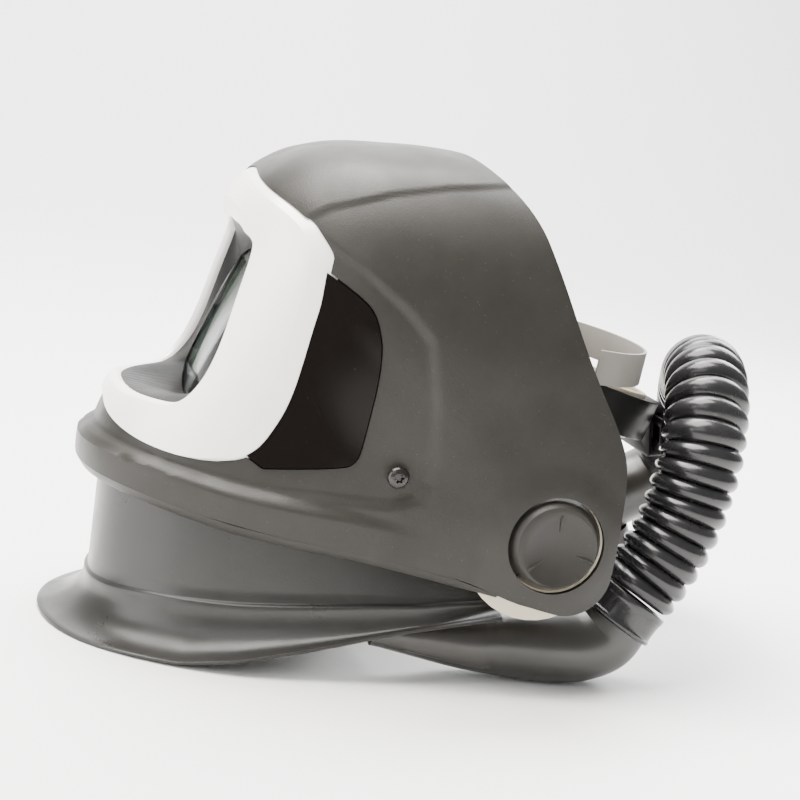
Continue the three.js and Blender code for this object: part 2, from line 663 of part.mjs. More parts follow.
// A flat strap along an arc of an ellipse, as { middle, across, up, halfAcross, halfUp, from, to }.
function strap({ middle, across, up, halfAcross, halfUp, from, to, width, thickness, steps = 24 }) {
  const side = new THREE.Vector3().crossVectors(across, up).normalize();
  return loft(Array.from({ length: steps + 1 }, (_, i) => {
    const angle = THREE.MathUtils.degToRad(from + ((to - from) * i) / steps);
    const [c, s] = [Math.cos(angle), Math.sin(angle)];
    const at = middle.clone().addScaledVector(across, halfAcross * c).addScaledVector(up, halfUp * s);
    const out = across.clone().multiplyScalar(c / halfAcross).addScaledVector(up, s / halfUp).normalize();
    const [w, t] = [width / 2, thickness / 2];
    return { at, u: out, v: side, outline: [[-t, -w], [t, -w], [t, w], [-t, w]] };
  }));
}

const X_AXIS = new THREE.Vector3(1, 0, 0);
const BAND_REAR = new THREE.Vector3(0, Math.cos(BAND_FALL), -Math.sin(BAND_FALL));
const headRing = { middle: BAND_MIDDLE, across: X_AXIS, up: BAND_REAR };

piece('headband', strap({
  ...headRing, halfAcross: HEAD_HALF_WIDTH, halfUp: HEAD_HALF_LENGTH, from: 68, to: -248,
  width: BAND_HEIGHT, thickness: BAND_THICKNESS, steps: 44,
}), BLACK_PLASTIC);
piece('sweatband', strap({
  ...headRing, halfAcross: HEAD_HALF_WIDTH - 3.6, halfUp: HEAD_HALF_LENGTH - 3.6, from: -35, to: -145,
  width: BAND_HEIGHT + 8, thickness: 4, steps: 20,
}), FABRIC);
piece('nape_pad', strap({
  ...headRing, halfAcross: HEAD_HALF_WIDTH - 4, halfUp: HEAD_HALF_LENGTH - 9.5, from: 20, to: 160,
  width: BAND_HEIGHT + 4, thickness: 3, steps: 26,
}), CREAM);

// Toothed tongues at the back run through the ratchet housing and close the band as the knob turns.
const HOUSING_Y = 84.4;
const HOUSING_Z = 34;

function backPlate(outline, fromY, toY) {
  return prismAlongY(outline.map(([x, z]) => [x, z + HOUSING_Z]), fromY, toY);
}

function ratchetHousing() {
  const block = toSolid(backPlate(rectangle(25, 15, 4), HOUSING_Y - 3, HOUSING_Y + 5));
  const slot = toSolid(backPlate(rectangle(30, 10.6), HOUSING_Y - 1, HOUSING_Y + 3));
  const bore = toSolid(turnedAlong([[0, -3], [3.4, -3], [3.4, 9], [0, 9]],
    new THREE.Vector3(0, HOUSING_Y, HOUSING_Z), new THREE.Vector3(0, 1, 0), 16));
  return block.subtract(slot).subtract(bore);
}

function bandRack(side, depth) {
  const tongue = rectangle(23, 9.6).map(([x, z]) => [x + side * 15, z]);
  const track = rectangle(19.5, 4.5).map(([x, z]) => [x + side * 14.5, z]);
  const plate = toSolid(backPlate(tongue, HOUSING_Y + depth, HOUSING_Y + depth + 1.4));
  return plate.subtract(toSolid(backPlate(track, HOUSING_Y - 4, HOUSING_Y + 6)));
}

piece('ratchet_housing', toGeometry(ratchetHousing()), BLACK_PLASTIC);
piece('band_rack_left', toGeometry(bandRack(1, -0.7)), BLACK_PLASTIC);
piece('band_rack_right', toGeometry(bandRack(-1, 1.2)), BLACK_PLASTIC);
piece('ratchet_knob', turnedAlong(
  [[0, -0.6], [3, -0.6], [3, 5.3], [10, 5.3], [10, 8], [9.4, 8.6], [0, 8.6]],
  new THREE.Vector3(0, HOUSING_Y, HOUSING_Z), new THREE.Vector3(0, 1, 0), 20,
), BLACK_PLASTIC);

// Two straps run from side to side over the crown; with no head inside, the rear one lies slack.
function crownStrap(apex, end, width) {
  const rise = apex.clone().sub(end);
  return strap({
    middle: end, across: X_AXIS, up: rise.clone().normalize(), halfAcross: HEAD_HALF_WIDTH + 2.6,
    halfUp: rise.length(), from: 6, to: 174, width, thickness: STRAP_THICKNESS, steps: 26,
  });
}

const STRAP_END_FRONT = new THREE.Vector3(0, 0, 76);
const STRAP_END_REAR = new THREE.Vector3(0, 26, 84);
const STRAP_APEX_FRONT = new THREE.Vector3(0, -14, 148);
const STRAP_APEX_REAR = new THREE.Vector3(0, 77, 72);
piece('crown_strap_front', crownStrap(STRAP_APEX_FRONT, STRAP_END_FRONT, STRAP_WIDTH), STRAP_GREY);
piece('crown_strap_rear', crownStrap(STRAP_APEX_REAR, STRAP_END_REAR, STRAP_WIDTH), STRAP_GREY);

// Arms carry the headband on the pivot bolts and let it tilt under the visor.
function harnessArm() {
  const outline = [[-12, -14], [12, -14], [15, 0], [20, 48], [26, 60], [24, 74], [2, 84], [-6, 76], [-2, 52], [-14, 8]];
  return toSolid(prismAlongX(outline, 80.6, 83.6)).subtract(toSolid(cylinderAboutX(6, 70, 90)));
}

pair('harness_arm', toGeometry(harnessArm()), BLACK_PLASTIC);

// ---------------------------------------------------------------- face seal

// A fabric collar joins the visor frame to the wearer's cheeks, brow and chin.
const SEAL_THICKNESS = 2;
const sealOuterEdge = (c, s) => new THREE.Vector3(80 * c, -114 + 36 * s + 50 * c * c, 76 + 46 * s);
const sealInnerEdge = (c, s) => new THREE.Vector3(64 * c, -84 + 34 * c * c, 28 + 72 * s);

function faceSeal() {
  const steps = 36;
  const edges = Array.from({ length: steps }, (_, i) => {
    const angle = (2 * Math.PI * i) / steps;
    const [c, s] = [Math.cos(angle), Math.sin(angle)];
    return [sealOuterEdge(c, s), sealInnerEdge(c, s)];
  });
  return loft(edges.map(([outer, inner], i) => {
    const u = inner.clone().sub(outer);
    const length = u.length();
    u.normalize();
    const around = edges[(i + 1) % steps][0].clone().sub(edges[(i + steps - 1) % steps][0]);
    const v = new THREE.Vector3().crossVectors(u, around).normalize();
    return { at: outer, u, v, outline: [[0, 0], [length, 0], [length, SEAL_THICKNESS], [0, SEAL_THICKNESS]] };
  }), true);
}

piece('face_seal', faceSeal(), FABRIC);

headtop.rotation.x = REST_LEAN;
headtop.position.set(0, PIVOT_Y, PIVOT_Z);

export default headtop;
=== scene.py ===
# The looks of the powered air respirator's headtop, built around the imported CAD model.
# Shapes are drawn in millimetres in the pivot frame (origin on the shield's pivot axis, in the middle
# of the head) and carried into the row frame, in metres, by TO_ROW.

import json
import math

import bmesh
import bpy
import numpy as np
from mathutils import Matrix, Vector


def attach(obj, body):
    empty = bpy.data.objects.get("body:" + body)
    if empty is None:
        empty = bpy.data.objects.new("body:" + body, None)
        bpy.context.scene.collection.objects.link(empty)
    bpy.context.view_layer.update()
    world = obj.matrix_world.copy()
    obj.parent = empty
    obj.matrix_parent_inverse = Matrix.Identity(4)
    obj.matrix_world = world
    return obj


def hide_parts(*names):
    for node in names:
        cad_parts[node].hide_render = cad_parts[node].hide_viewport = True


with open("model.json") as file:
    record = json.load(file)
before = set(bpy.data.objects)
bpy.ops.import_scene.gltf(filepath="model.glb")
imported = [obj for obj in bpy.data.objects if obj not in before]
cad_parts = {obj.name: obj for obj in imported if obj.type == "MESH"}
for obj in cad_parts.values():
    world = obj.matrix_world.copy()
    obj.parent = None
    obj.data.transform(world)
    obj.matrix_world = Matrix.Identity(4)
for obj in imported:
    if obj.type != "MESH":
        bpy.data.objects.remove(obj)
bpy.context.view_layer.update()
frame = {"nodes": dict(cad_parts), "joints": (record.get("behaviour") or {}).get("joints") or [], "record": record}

MM = 0.001
REST_LEAN = math.radians(8)
PIVOT = Vector(next(j["pos_m"] for j in frame["joints"] if j["name"] == "shield_flip"))
TO_ROW = Matrix.Translation(PIVOT) @ Matrix.Rotation(REST_LEAN, 4, "X") @ Matrix.Scale(MM, 4)

# ---------------------------------------------------------------- camera

CAMERA_AZIMUTH = math.radians(78)
CAMERA_ELEVATION = math.radians(12)
CAMERA_DISTANCE = 900
CAMERA_TARGET = Vector((0, -55, 53))
LENS_MM = 73.6
SENSOR_MM = 36


def add_camera():
    a, e = CAMERA_AZIMUTH, CAMERA_ELEVATION
    right = Vector((math.cos(a), math.sin(a), 0))
    up = Vector((-math.sin(a) * math.sin(e), math.cos(a) * math.sin(e), math.cos(e)))
    back = right.cross(up)
    place = TO_ROW @ (CAMERA_TARGET + back * CAMERA_DISTANCE)
    turn = Matrix.Rotation(REST_LEAN, 3, "X") @ Matrix((right, up, back)).transposed()
    data = bpy.data.cameras.new("camera")
    data.lens = LENS_MM
    data.sensor_width = SENSOR_MM
    camera = bpy.data.objects.new("camera", data)
    camera.matrix_world = Matrix.Translation(place) @ turn.to_4x4()
    bpy.context.scene.collection.objects.link(camera)
    bpy.context.scene.camera = camera


add_camera()

# ---------------------------------------------------------------- materials


NOISE_ROUGHNESS = 0.55


def set_inputs(node, values):
    for name, value in values.items():
        node.inputs[name].default_value = value


class Look:
    """A procedural material: a Principled shader with helpers for its noise, bump and ramps."""

    def __init__(self, name, color, roughness, metallic=0.0):
        self.material = bpy.data.materials.new(name)
        self.material.use_nodes = True
        self.tree = self.material.node_tree
        self.shader = self.tree.nodes["Principled BSDF"]
        set_inputs(self.shader, {"Base Color": (*color, 1), "Roughness": roughness, "Metallic": metallic})
        self.color = color
        self.roughness = roughness
        self.place = self.add("ShaderNodeTexCoord").outputs["Object"]
        self.last_bump = None

    def add(self, kind, inputs=None, **settings):
        node = self.tree.nodes.new(kind)
        for key, value in settings.items():
            setattr(node, key, value)
        set_inputs(node, inputs or {})
        return node

    def link(self, output, target):
        self.tree.links.new(output, target)

    def noise(self, scale, detail, stretch=None):
        inputs = {"Scale": scale, "Detail": detail, "Roughness": NOISE_ROUGHNESS}
        node = self.add("ShaderNodeTexNoise", inputs)
        place = self.place
        if stretch:
            mapping = self.add("ShaderNodeMapping", {"Scale": stretch})
            self.link(place, mapping.inputs["Vector"])
            place = mapping.outputs["Vector"]
        self.link(place, node.inputs["Vector"])
        return node.outputs["Fac"]

    def spots(self, scale, low, high):
        """White flecks where a cell texture's distance is small."""
        node = self.add("ShaderNodeTexVoronoi", {"Scale": scale})
        self.link(self.place, node.inputs["Vector"])
        return self.spread(node.outputs["Distance"], low, high, 1.0, 0.0)

    def spread(self, value, low, high, to_low, to_high):
        """Maps a value from one range to another."""
        limits = {"From Min": low, "From Max": high, "To Min": to_low, "To Max": to_high}
        node = self.add("ShaderNodeMapRange", limits)
        self.link(value, node.inputs["Value"])
        return node.outputs["Result"]

    def tint(self, factor, other):
        """Mixes the base colour towards another colour by a factor."""
        node = self.add("ShaderNodeMix", data_type="RGBA")
        current = self.shader.inputs["Base Color"]
        if current.is_linked:
            self.link(current.links[0].from_socket, node.inputs[6])
        else:
            node.inputs[6].default_value = (*self.color, 1)
        node.inputs[7].default_value = (*other, 1)
        self.link(factor, node.inputs[0])
        self.link(node.outputs[2], current)
        return self

    def vary_roughness(self, value, spread):
        low, high = self.roughness - spread, self.roughness + spread
        self.link(self.spread(value, 0.3, 0.7, low, high), self.shader.inputs["Roughness"])
        return self

    def bump(self, height, strength, distance):
        node = self.add("ShaderNodeBump", {"Strength": strength, "Distance": distance})
        self.link(height, node.inputs["Height"])
        if self.last_bump:
            self.link(self.last_bump, node.inputs["Normal"])
        self.last_bump = node.outputs["Normal"]
        self.link(self.last_bump, self.shader.inputs["Normal"])
        return self

    def fixed(self, **values):
        """Sets shader inputs, named with underscores for spaces, that are the same all over."""
        set_inputs(self.shader, {name.replace("_", " "): value for name, value in values.items()})
        return self


def moulded(name, color, roughness, light, grain=900, grain_strength=0.22, specks=0.0):
    """Moulded plastic: a fine grain, cloudy variation in colour and gloss, and sparse light dust."""
    look = Look(name, color, roughness)
    clouds = look.noise(16, 4)
    look.tint(look.spread(clouds, 0.35, 0.7, 0.0, 0.55), light)
    look.vary_roughness(look.noise(45, 5), 0.07)
    if specks:
        look.tint(look.spread(look.spots(330, 0.02, 0.05), 0, 1, 0.0, specks), (0.5, 0.48, 0.45))
    look.bump(look.noise(14, 2), 0.12, 0.0015)
    look.bump(look.noise(grain, 3), grain_strength, 0.0002)
    return look


def shell_look():
    color, light = (0.0155, 0.0142, 0.0123), (0.026, 0.0237, 0.0203)
    look = moulded("shell plastic", color, 0.42, light, 1300, 0.6, 0.3)
    return look.fixed(Specular_IOR_Level=0.24, Coat_Weight=0.02, Coat_Roughness=0.3).material


def chin_look():
    color, light = (0.014, 0.0133, 0.0122), (0.022, 0.0208, 0.019)
    look = moulded("chin plastic", color, 0.33, light, 1000, 0.3, 0.15)
    return look.fixed(Specular_IOR_Level=0.34, Coat_Weight=0.05, Coat_Roughness=0.22).material


def silver_look():
    look = Look("pearl silver paint", (0.86, 0.845, 0.8), 0.34, 0.12)
    look.tint(look.spread(look.noise(9, 3), 0.35, 0.7, 0.0, 0.6), (0.8, 0.785, 0.74))
    look.tint(look.spread(look.spots(2200, 0.05, 0.3), 0, 1, 0.0, 0.12), (0.95, 0.95, 0.92))
    look.vary_roughness(look.noise(60, 4), 0.05)
    look.bump(look.noise(1700, 2), 0.07, 0.0001)
    return look.fixed(Coat_Weight=0.35, Coat_Roughness=0.12).material


def smoked_look():
    look = Look("smoked polycarbonate", (0.004, 0.003, 0.0025), 0.07)
    look.vary_roughness(look.noise(70, 5), 0.03)
    look.tint(look.spots(260, 0.015, 0.035), (0.22, 0.2, 0.18))
    look.bump(look.noise(11, 2), 0.05, 0.001)
    return look.fixed(Specular_IOR_Level=0.14, IOR=1.5).material


def filter_look():
    look = Look("welding filter glass", (0.006, 0.016, 0.012), 0.05)
    look.tint(look.spread(look.noise(20, 2), 0.4, 0.7, 0.0, 0.5), (0.02, 0.03, 0.006))
    look.vary_roughness(look.noise(90, 3), 0.02)
    return look.fixed(Specular_IOR_Level=0.05, IOR=1.5).material


def clear_look():
    look = Look("clear polycarbonate", (0.93, 0.95, 0.95), 0.04)
    look.vary_roughness(look.noise(120, 5), 0.03)
    look.bump(look.noise(8, 2), 0.03, 0.001)
    return look.fixed(Transmission_Weight=1.0, IOR=1.03).material


def black_look():
    look = moulded("black plastic", (0.007, 0.007, 0.007), 0.36, (0.014, 0.0135, 0.013), 1100, 0.25, 0.1)
    return look.fixed(Specular_IOR_Level=0.04).material


def duct_look():
    look = moulded("duct plastic", (0.012, 0.0105, 0.009), 0.34, (0.025, 0.0215, 0.018), 900, 0.2, 0.15)
    return look.fixed(Coat_Weight=0.12, Coat_Roughness=0.2).material


def rubber_look():
    look = Look("tube rubber", (0.008, 0.008, 0.009), 0.25)
    look.tint(look.spread(look.noise(35, 4), 0.4, 0.75, 0.0, 0.6), (0.018, 0.0175, 0.017))
    look.vary_roughness(look.noise(60, 5), 0.08)
    look.tint(look.spread(look.spots(420, 0.02, 0.05), 0, 1, 0.0, 0.2), (0.3, 0.28, 0.24))
    look.bump(look.noise(700, 4), 0.12, 0.0002)
    return look.fixed(Specular_IOR_Level=0.4, Coat_Weight=0.1, Coat_Roughness=0.15).material


def cream_look():
    return moulded("cream plastic", (0.5, 0.44, 0.33), 0.42, (0.58, 0.52, 0.4), 900, 0.12).material


def strap_look():
    return moulded("grey strap", (0.16, 0.15, 0.135), 0.5, (0.22, 0.205, 0.185), 800, 0.2).material


def fabric_look():
    """Knitted fabric: two crossed rib waves with a fuzzy sheen."""
    look = Look("seal fabric", (0.017, 0.017, 0.02), 0.9)
    weaves = []
    for direction in ("X", "Z"):
        rib = {"Scale": 330, "Distortion": 1.5}
        wave = look.add("ShaderNodeTexWave", rib, bands_direction=direction)
        look.link(look.place, wave.inputs["Vector"])
        weaves.append(wave.outputs["Fac"])
    knit = look.add("ShaderNodeMath", operation="MULTIPLY")
    look.link(weaves[0], knit.inputs[0])
    look.link(weaves[1], knit.inputs[1])
    look.tint(look.spread(knit.outputs[0], 0.1, 0.9, 0.0, 0.8), (0.05, 0.05, 0.056))
    look.tint(look.spread(look.noise(30, 4), 0.4, 0.7, 0.0, 0.3), (0.045, 0.043, 0.045))
    look.bump(knit.outputs[0], 0.6, 0.0005)
    return look.fixed(Sheen_Weight=0.4, Sheen_Roughness=0.5).material


def steel_look():
    look = Look("blackened steel", (0.035, 0.033, 0.032), 0.25, 0.8)
    look.vary_roughness(look.noise(300, 4, stretch=(1, 1, 12)), 0.1)
    look.bump(look.noise(1200, 2), 0.1, 0.0001)
    return look.material


LOOKS = {
    "shell_grey": shell_look(),
    "chin_grey": chin_look(),
    "frame_silver": silver_look(),
    "smoked_window": smoked_look(),
    "clear_lens": clear_look(),
    "filter_lens": filter_look(),
    "black_plastic": black_look(),
    "duct_plastic": duct_look(),
    "tube_rubber": rubber_look(),
    "cream_plastic": cream_look(),
    "strap_grey": strap_look(),
    "seal_fabric": fabric_look(),
    "dark_steel": steel_look(),
}
NODE_SLOT = {row["node"]: row["material_slot"] for row in frame["record"]["subparts"]}
NODE_BODY = {
    node: body for body, nodes in frame["record"]["behaviour"]["bodies"].items() for node in nodes
}

for node_name, node_object in frame["nodes"].items():
    node_object.data.materials.clear()
    node_object.data.materials.append(LOOKS[NODE_SLOT[node_name]])

# ---------------------------------------------------------------- mesh tools


def edit_mesh(mesh, change):
    """Makes a change to a mesh through bmesh."""
    form = bmesh.new()
    form.from_mesh(mesh)
    change(form)
    form.to_mesh(mesh)
    form.free()


def add_object(name, data):
    made = bpy.data.objects.new(name, data)
    bpy.context.scene.collection.objects.link(made)
    return made


def new_object(name, points, faces):
    """A mesh object from pivot-frame points in millimetres, with its faces turned outward."""
    mesh = bpy.data.meshes.new(name)
    mesh.from_pydata([TO_ROW @ Vector(p) for p in points], [], faces)
    edit_mesh(mesh, lambda form: bmesh.ops.recalc_face_normals(form, faces=form.faces))
    return add_object(name, mesh)


def node_copy(node, name):
    """A copy of a CAD piece, in the same place, that can be reworked."""
    source = frame["nodes"][node]
    item = source.copy()
    item.data = source.data.copy()
    item.name = name
    item.parent = None
    bpy.context.scene.collection.objects.link(item)
    item.matrix_world = source.matrix_world
    return item


def bake_modifiers(item):
    """Applies an object's modifiers to its mesh."""
    bpy.context.view_layer.update()
    shaped = item.evaluated_get(bpy.context.evaluated_depsgraph_get())
    mesh = bpy.data.meshes.new_from_object(shaped)
    item.modifiers.clear()
    item.data = mesh


def cut(item, other, operation):
    """Joins or cuts a closed mesh by another one."""
    modifier = item.modifiers.new("cut", "BOOLEAN")
    modifier.object = other
    modifier.operation = operation
    modifier.solver = "MANIFOLD"
    bake_modifiers(item)
    bpy.data.objects.remove(other)


def finish_piece(item, slot, body, *nodes, smooth_angle=40):
    """Gives a piece its look, its smooth shading, its body and the CAD nodes that it stands for."""
    item.data.materials.clear()
    item.data.materials.append(LOOKS[slot])
    item.data.polygons.foreach_set("material_index", [0] * len(item.data.polygons))
    item.data.shade_smooth()
    item.data.set_sharp_from_angle(angle=math.radians(smooth_angle))
    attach(item, body)
    if nodes:
        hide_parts(*nodes)
    return item


def ring_faces(rows, count, closed_rows):
    faces = []
    for r in range(rows if closed_rows else rows - 1):
        a, b = r * count, ((r + 1) % rows) * count
        for i in range(count):
            j = (i + 1) % count
            faces.append((a + i, a + j, b + j, b + i))
    if not closed_rows:
        faces.append(tuple(range(count))[::-1])
        faces.append(tuple(range((rows - 1) * count, rows * count)))
    return faces


def loft(name, sections, closed_rows=False):
    """A skin through matching closed sections, each a list of points."""
    points = [p for section in sections for p in section]
    return new_object(name, points, ring_faces(len(sections), len(sections[0]), closed_rows))


def full_turn(steps):
    """Angles once round, from 0."""
    return np.linspace(0, 2 * math.pi, steps, endpoint=False)


def unit(rows):
    """Directions of length 1; the smallest length allowed guards against a repeated point."""
    return rows / np.maximum(np.linalg.norm(rows, axis=-1, keepdims=True), 1e-9)


def rounded(outline, rounds):
    """A closed outline with its corners cut off again and again, which rounds them."""
    points = np.array(outline, float)
    for _ in range(rounds):
        after = np.roll(points, -1, axis=0)
        points = np.stack([0.75 * points + 0.25 * after, 0.25 * points + 0.75 * after], 1)
        points = points.reshape(-1, points.shape[-1])
    return points


def both_sides(half):
    return list(half) + [(-x, z) for x, z in reversed(half) if x > 0]


def grown(outline, distance):
    """An outline moved outward by a distance."""
    points = np.array(outline, float)
    ahead = np.roll(points, -1, 0) - points
    area = np.sum(points[:, 0] * np.roll(points[:, 1], -1) - points[:, 1] * np.roll(points[:, 0], -1))
    edge = unit(np.stack([ahead[:, 1], -ahead[:, 0]], 1) * np.sign(area))
    normal = unit(edge + np.roll(edge, 1, 0))
    reach = 1 / np.maximum(0.5, np.sum(normal * edge, 1, keepdims=True))
    return points + normal * reach * distance


def prism_x(outline, low, high):
    """A solid that runs along X, from a side-view outline of (y, z)."""
    return loft("prism", [[(x, y, z) for y, z in outline] for x in (low, high)])


def prism_y(outline, low, high):
    """A solid that runs along Y, from a front-view outline of (x, z)."""
    return loft("prism", [[(x, y, z) for x, z in outline] for y in (low, high)])


def circle(radius, steps):
    turns = full_turn(steps)
    return radius * np.stack([np.cos(turns), np.sin(turns)], 1)


def turned(name, profile, start, direction, steps=64):
    """A turned piece from a closed profile of (radius, distance along the direction)."""
    direction = Vector(direction).normalized()
    u = direction.orthogonal().normalized()
    v = direction.cross(u)
    sections = []
    for angle in full_turn(steps):
        out = u * math.cos(angle) + v * math.sin(angle)
        sections.append([Vector(start) + out * max(r, 1e-4) + direction * d for r, d in profile])
    item = loft(name, sections, closed_rows=True)

    def join_on_axis(form):
        bmesh.ops.remove_doubles(form, verts=form.verts, dist=2e-6)
        bmesh.ops.recalc_face_normals(form, faces=form.faces)

    edit_mesh(item.data, join_on_axis)
    return item


def smooth_profile(corners, rounds=2):
    """A profile with its inner corners rounded and its two ends kept."""
    points = np.array(corners, float)
    for _ in range(rounds):
        a, b = points[:-1], points[1:]
        middle = np.stack([0.75 * a + 0.25 * b, 0.25 * a + 0.75 * b], 1).reshape(-1, 2)[1:-1]
        points = np.vstack([points[:1], middle, points[-1:]])
    return points


def mirror_piece(item, name, slot, body, node, smooth_angle):
    """The same piece on the other side of the head."""
    mesh = item.data.copy()
    mesh.transform(Matrix.Scale(-1, 4, (1, 0, 0)) @ item.matrix_world)
    mesh.flip_normals()
    return finish_piece(add_object(name, mesh), slot, body, node, smooth_angle=smooth_angle)


def smooth_step(t):
    """Rises smoothly from 0 to 1 as t does."""
    t = np.clip(t, 0, 1)
    return t * t * (3 - 2 * t)


# ---------------------------------------------------------------- breathing tube

# The route from the left cuff, over the nape, to the rear cuff.
TUBE_ROUTE = [
    (74, 56.2, -41.8), (73.8, 60, -37), (73.5, 67, -28.5), (73, 74, -18.5), (72.2, 80, -8.5),
    (71, 85, 2), (69.5, 89.5, 14), (67.5, 94, 27), (63, 98, 41), (54, 102.5, 53), (41, 107, 61.5),
    (25, 112.3, 64), (8, 117.8, 62), (-8, 123.3, 57.5), (-23, 128.5, 51), (-36, 132.7, 42),
    (-45.5, 135.8, 31), (-54.4, 135.5, 16.8), (-57.75, 133.95, 10.7),
]
TUBE_RADIUS = 22.6
TUBE_PITCH = 9.6
STATIONS_PER_RIDGE = 20
RIDGE_HEIGHT = 4.0
# Below 1, this exponent makes the ridges round and the grooves between them narrow.
RIDGE_SHAPE = 0.62


def spline(points, count):
    """Evenly spaced points on a smooth curve through the given ones."""
    points = np.array(points, float)
    knots = np.concatenate([[0], np.cumsum(np.linalg.norm(np.diff(points, axis=0), axis=1) ** 0.5)])
    ends = [2 * points[0] - points[1], 2 * points[-1] - points[-2]]
    full = np.vstack([ends[0], points, ends[1]])
    times = np.concatenate([[knots[0] - (knots[1] - knots[0])], knots, [2 * knots[-1] - knots[-2]]])
    dense = []
    for i in range(1, len(full) - 2):
        t = np.linspace(times[i], times[i + 1], 40, endpoint=False)[:, None]
        t0, t1, t2, t3 = times[i - 1:i + 3]
        p0, p1, p2, p3 = full[i - 1:i + 3]
        a1 = (t1 - t) / (t1 - t0) * p0 + (t - t0) / (t1 - t0) * p1
        a2 = (t2 - t) / (t2 - t1) * p1 + (t - t1) / (t2 - t1) * p2
        a3 = (t3 - t) / (t3 - t2) * p2 + (t - t2) / (t3 - t2) * p3
        b1 = (t2 - t) / (t2 - t0) * a1 + (t - t0) / (t2 - t0) * a2
        b2 = (t3 - t) / (t3 - t1) * a2 + (t - t1) / (t3 - t1) * a3
        dense.append((t2 - t) / (t2 - t1) * b1 + (t - t1) / (t2 - t1) * b2)
    dense = np.vstack([*dense, points[-1:]])
    along = np.concatenate([[0], np.cumsum(np.linalg.norm(np.diff(dense, axis=0), axis=1))])
    wanted = np.linspace(0, along[-1], count)
    return np.stack([np.interp(wanted, along, dense[:, k]) for k in range(3)], 1)


def frames_along(path):
    """Two square directions at each point of a path, turned as little as possible."""
    across = np.array([1.0, 0, 0])
    pairs = []
    for direction in unit(np.gradient(path, axis=0)):
        across = unit(across - direction * across.dot(direction))
        pairs.append((across, np.cross(direction, across)))
    return pairs


def swept(name, path, outline_at):
    """A skin along a path; outline_at(i) gives the section's (across, up) points at station i."""
    sections = []
    for i, (point, (u, v)) in enumerate(zip(path, frames_along(path))):
        sections.append([point + u * a + v * b for a, b in outline_at(i)])
    return loft(name, sections)


def breathing_tube():
    length = np.sum(np.linalg.norm(np.diff(spline(TUBE_ROUTE, 400), axis=0), axis=1))
    ridges = round(length / TUBE_PITCH)
    stations = ridges * STATIONS_PER_RIDGE + 1
    path = spline(TUBE_ROUTE, stations)
    phase = np.linspace(0, ridges * math.pi, stations)
    height = np.abs(np.sin(phase)) ** RIDGE_SHAPE
    radii = TUBE_RADIUS - RIDGE_HEIGHT * (1 - height)
    tube = swept("corrugated_tube", path, lambda i: circle(radii[i], 72))
    finish_piece(tube, "tube_rubber", "root", "breathing_tube", smooth_angle=80)
    return tube, [TO_ROW @ Vector(p) for p in path[::STATIONS_PER_RIDGE // 2]]


# ---------------------------------------------------------------- air ducts and cuffs

DUCT_JAW = [(83, -88, -50), (80, -62, -55), (76, -38, -60), (74, -14, -63), (74, 8, -66), (74, 26, -67)]
DUCT_JAW_SECTIONS = [(4, 6), (9, 11), (15, 15), (19, 19), (20.5, 20.5), (20.5, 20.5)]
LEFT_TAIL = [(74, 38.6, -63.3), (74, 44.8, -55.8)]
RIGHT_TAIL = [
    (-74, 46, -59), (-75, 68, -46), (-75.5, 88, -33), (-75, 103, -26), (-74, 115, -21.5),
    (-72.5, 124, -16.5), (-69.5, 128.6, -10.5), (-66, 130.2, -4.2),
]
DUCT_RADIUS = 20.5
# How many stations on each side a section's size is averaged over.
DUCT_SMOOTHING = 12
INLET_START = (-75, 84, -36)
INLET_DIRECTION = (0, 0.28, -0.96)
INLET_LENGTH = 41
CUFF_RADIUS = 22.5
CUFF_BORE_RADIUS = 17.8
CUFF_LENGTH = 17


def last_direction(points):
    return (Vector(points[-1]) - Vector(points[-2])).normalized()


def air_duct(name, tail, side, node):
    """A jaw piece with a softly raised side panel, which rounds out into a pipe."""
    jaw = [(x * side, y, z) for x, y, z in DUCT_JAW]
    corners = jaw + list(tail)
    sizes = DUCT_JAW_SECTIONS + [(DUCT_RADIUS, DUCT_RADIUS)] * len(tail)
    stations = 30 * len(corners)
    path = spline(corners, stations)
    marks = [np.argmin(np.linalg.norm(path - np.array(c), axis=1)) for c in corners]
    half_a = np.interp(np.arange(stations), marks, [s[0] for s in sizes])
    half_b = np.interp(np.arange(stations), marks, [s[1] for s in sizes])
    kernel = np.ones(2 * DUCT_SMOOTHING + 1) / (2 * DUCT_SMOOTHING + 1)
    half_a = np.convolve(np.pad(half_a, DUCT_SMOOTHING, "edge"), kernel, "valid")
    half_b = np.convolve(np.pad(half_b, DUCT_SMOOTHING, "edge"), kernel, "valid")
    turns = full_turn(72)
    outward = 0 if side > 0 else math.pi

    def outline_at(i):
        y = path[i][1]
        lengthways = smooth_step((y + 74) / 8) * smooth_step((-24 - y) / 8)
        facing = np.cos(turns - outward + 0.35 * side)
        panel = 1.3 * lengthways * smooth_step((facing - 0.45) / 0.2)
        return np.stack([(half_a[i] + panel) * np.cos(turns), (half_b[i] + panel) * np.sin(turns)], 1)

    duct = swept(name, path, outline_at)
    return finish_piece(duct, "duct_plastic", "root", node, smooth_angle=60)


def tube_cuff(name, path, node):
    """A smooth cuff with a bead at its mouth and a step where the corrugations begin."""
    r, bore = CUFF_RADIUS, CUFF_BORE_RADIUS
    profile = smooth_profile([
        (r - 3.2, 0.3), (r - 0.5, 0.3), (r, 0.9), (r, 2.4), (r - 0.9, 3.2), (r - 1.0, 12.4),
        (r - 0.5, 13.4), (r - 0.5, CUFF_LENGTH - 0.5), (r - 1.2, CUFF_LENGTH), (r - 5, CUFF_LENGTH),
    ], 2)
    inner = [(bore, CUFF_LENGTH), (bore, 0.3)]
    cuff = turned(name, [*profile, *inner], path[-1], last_direction(path), 96)
    return finish_piece(cuff, "tube_rubber", "root", node, smooth_angle=50)


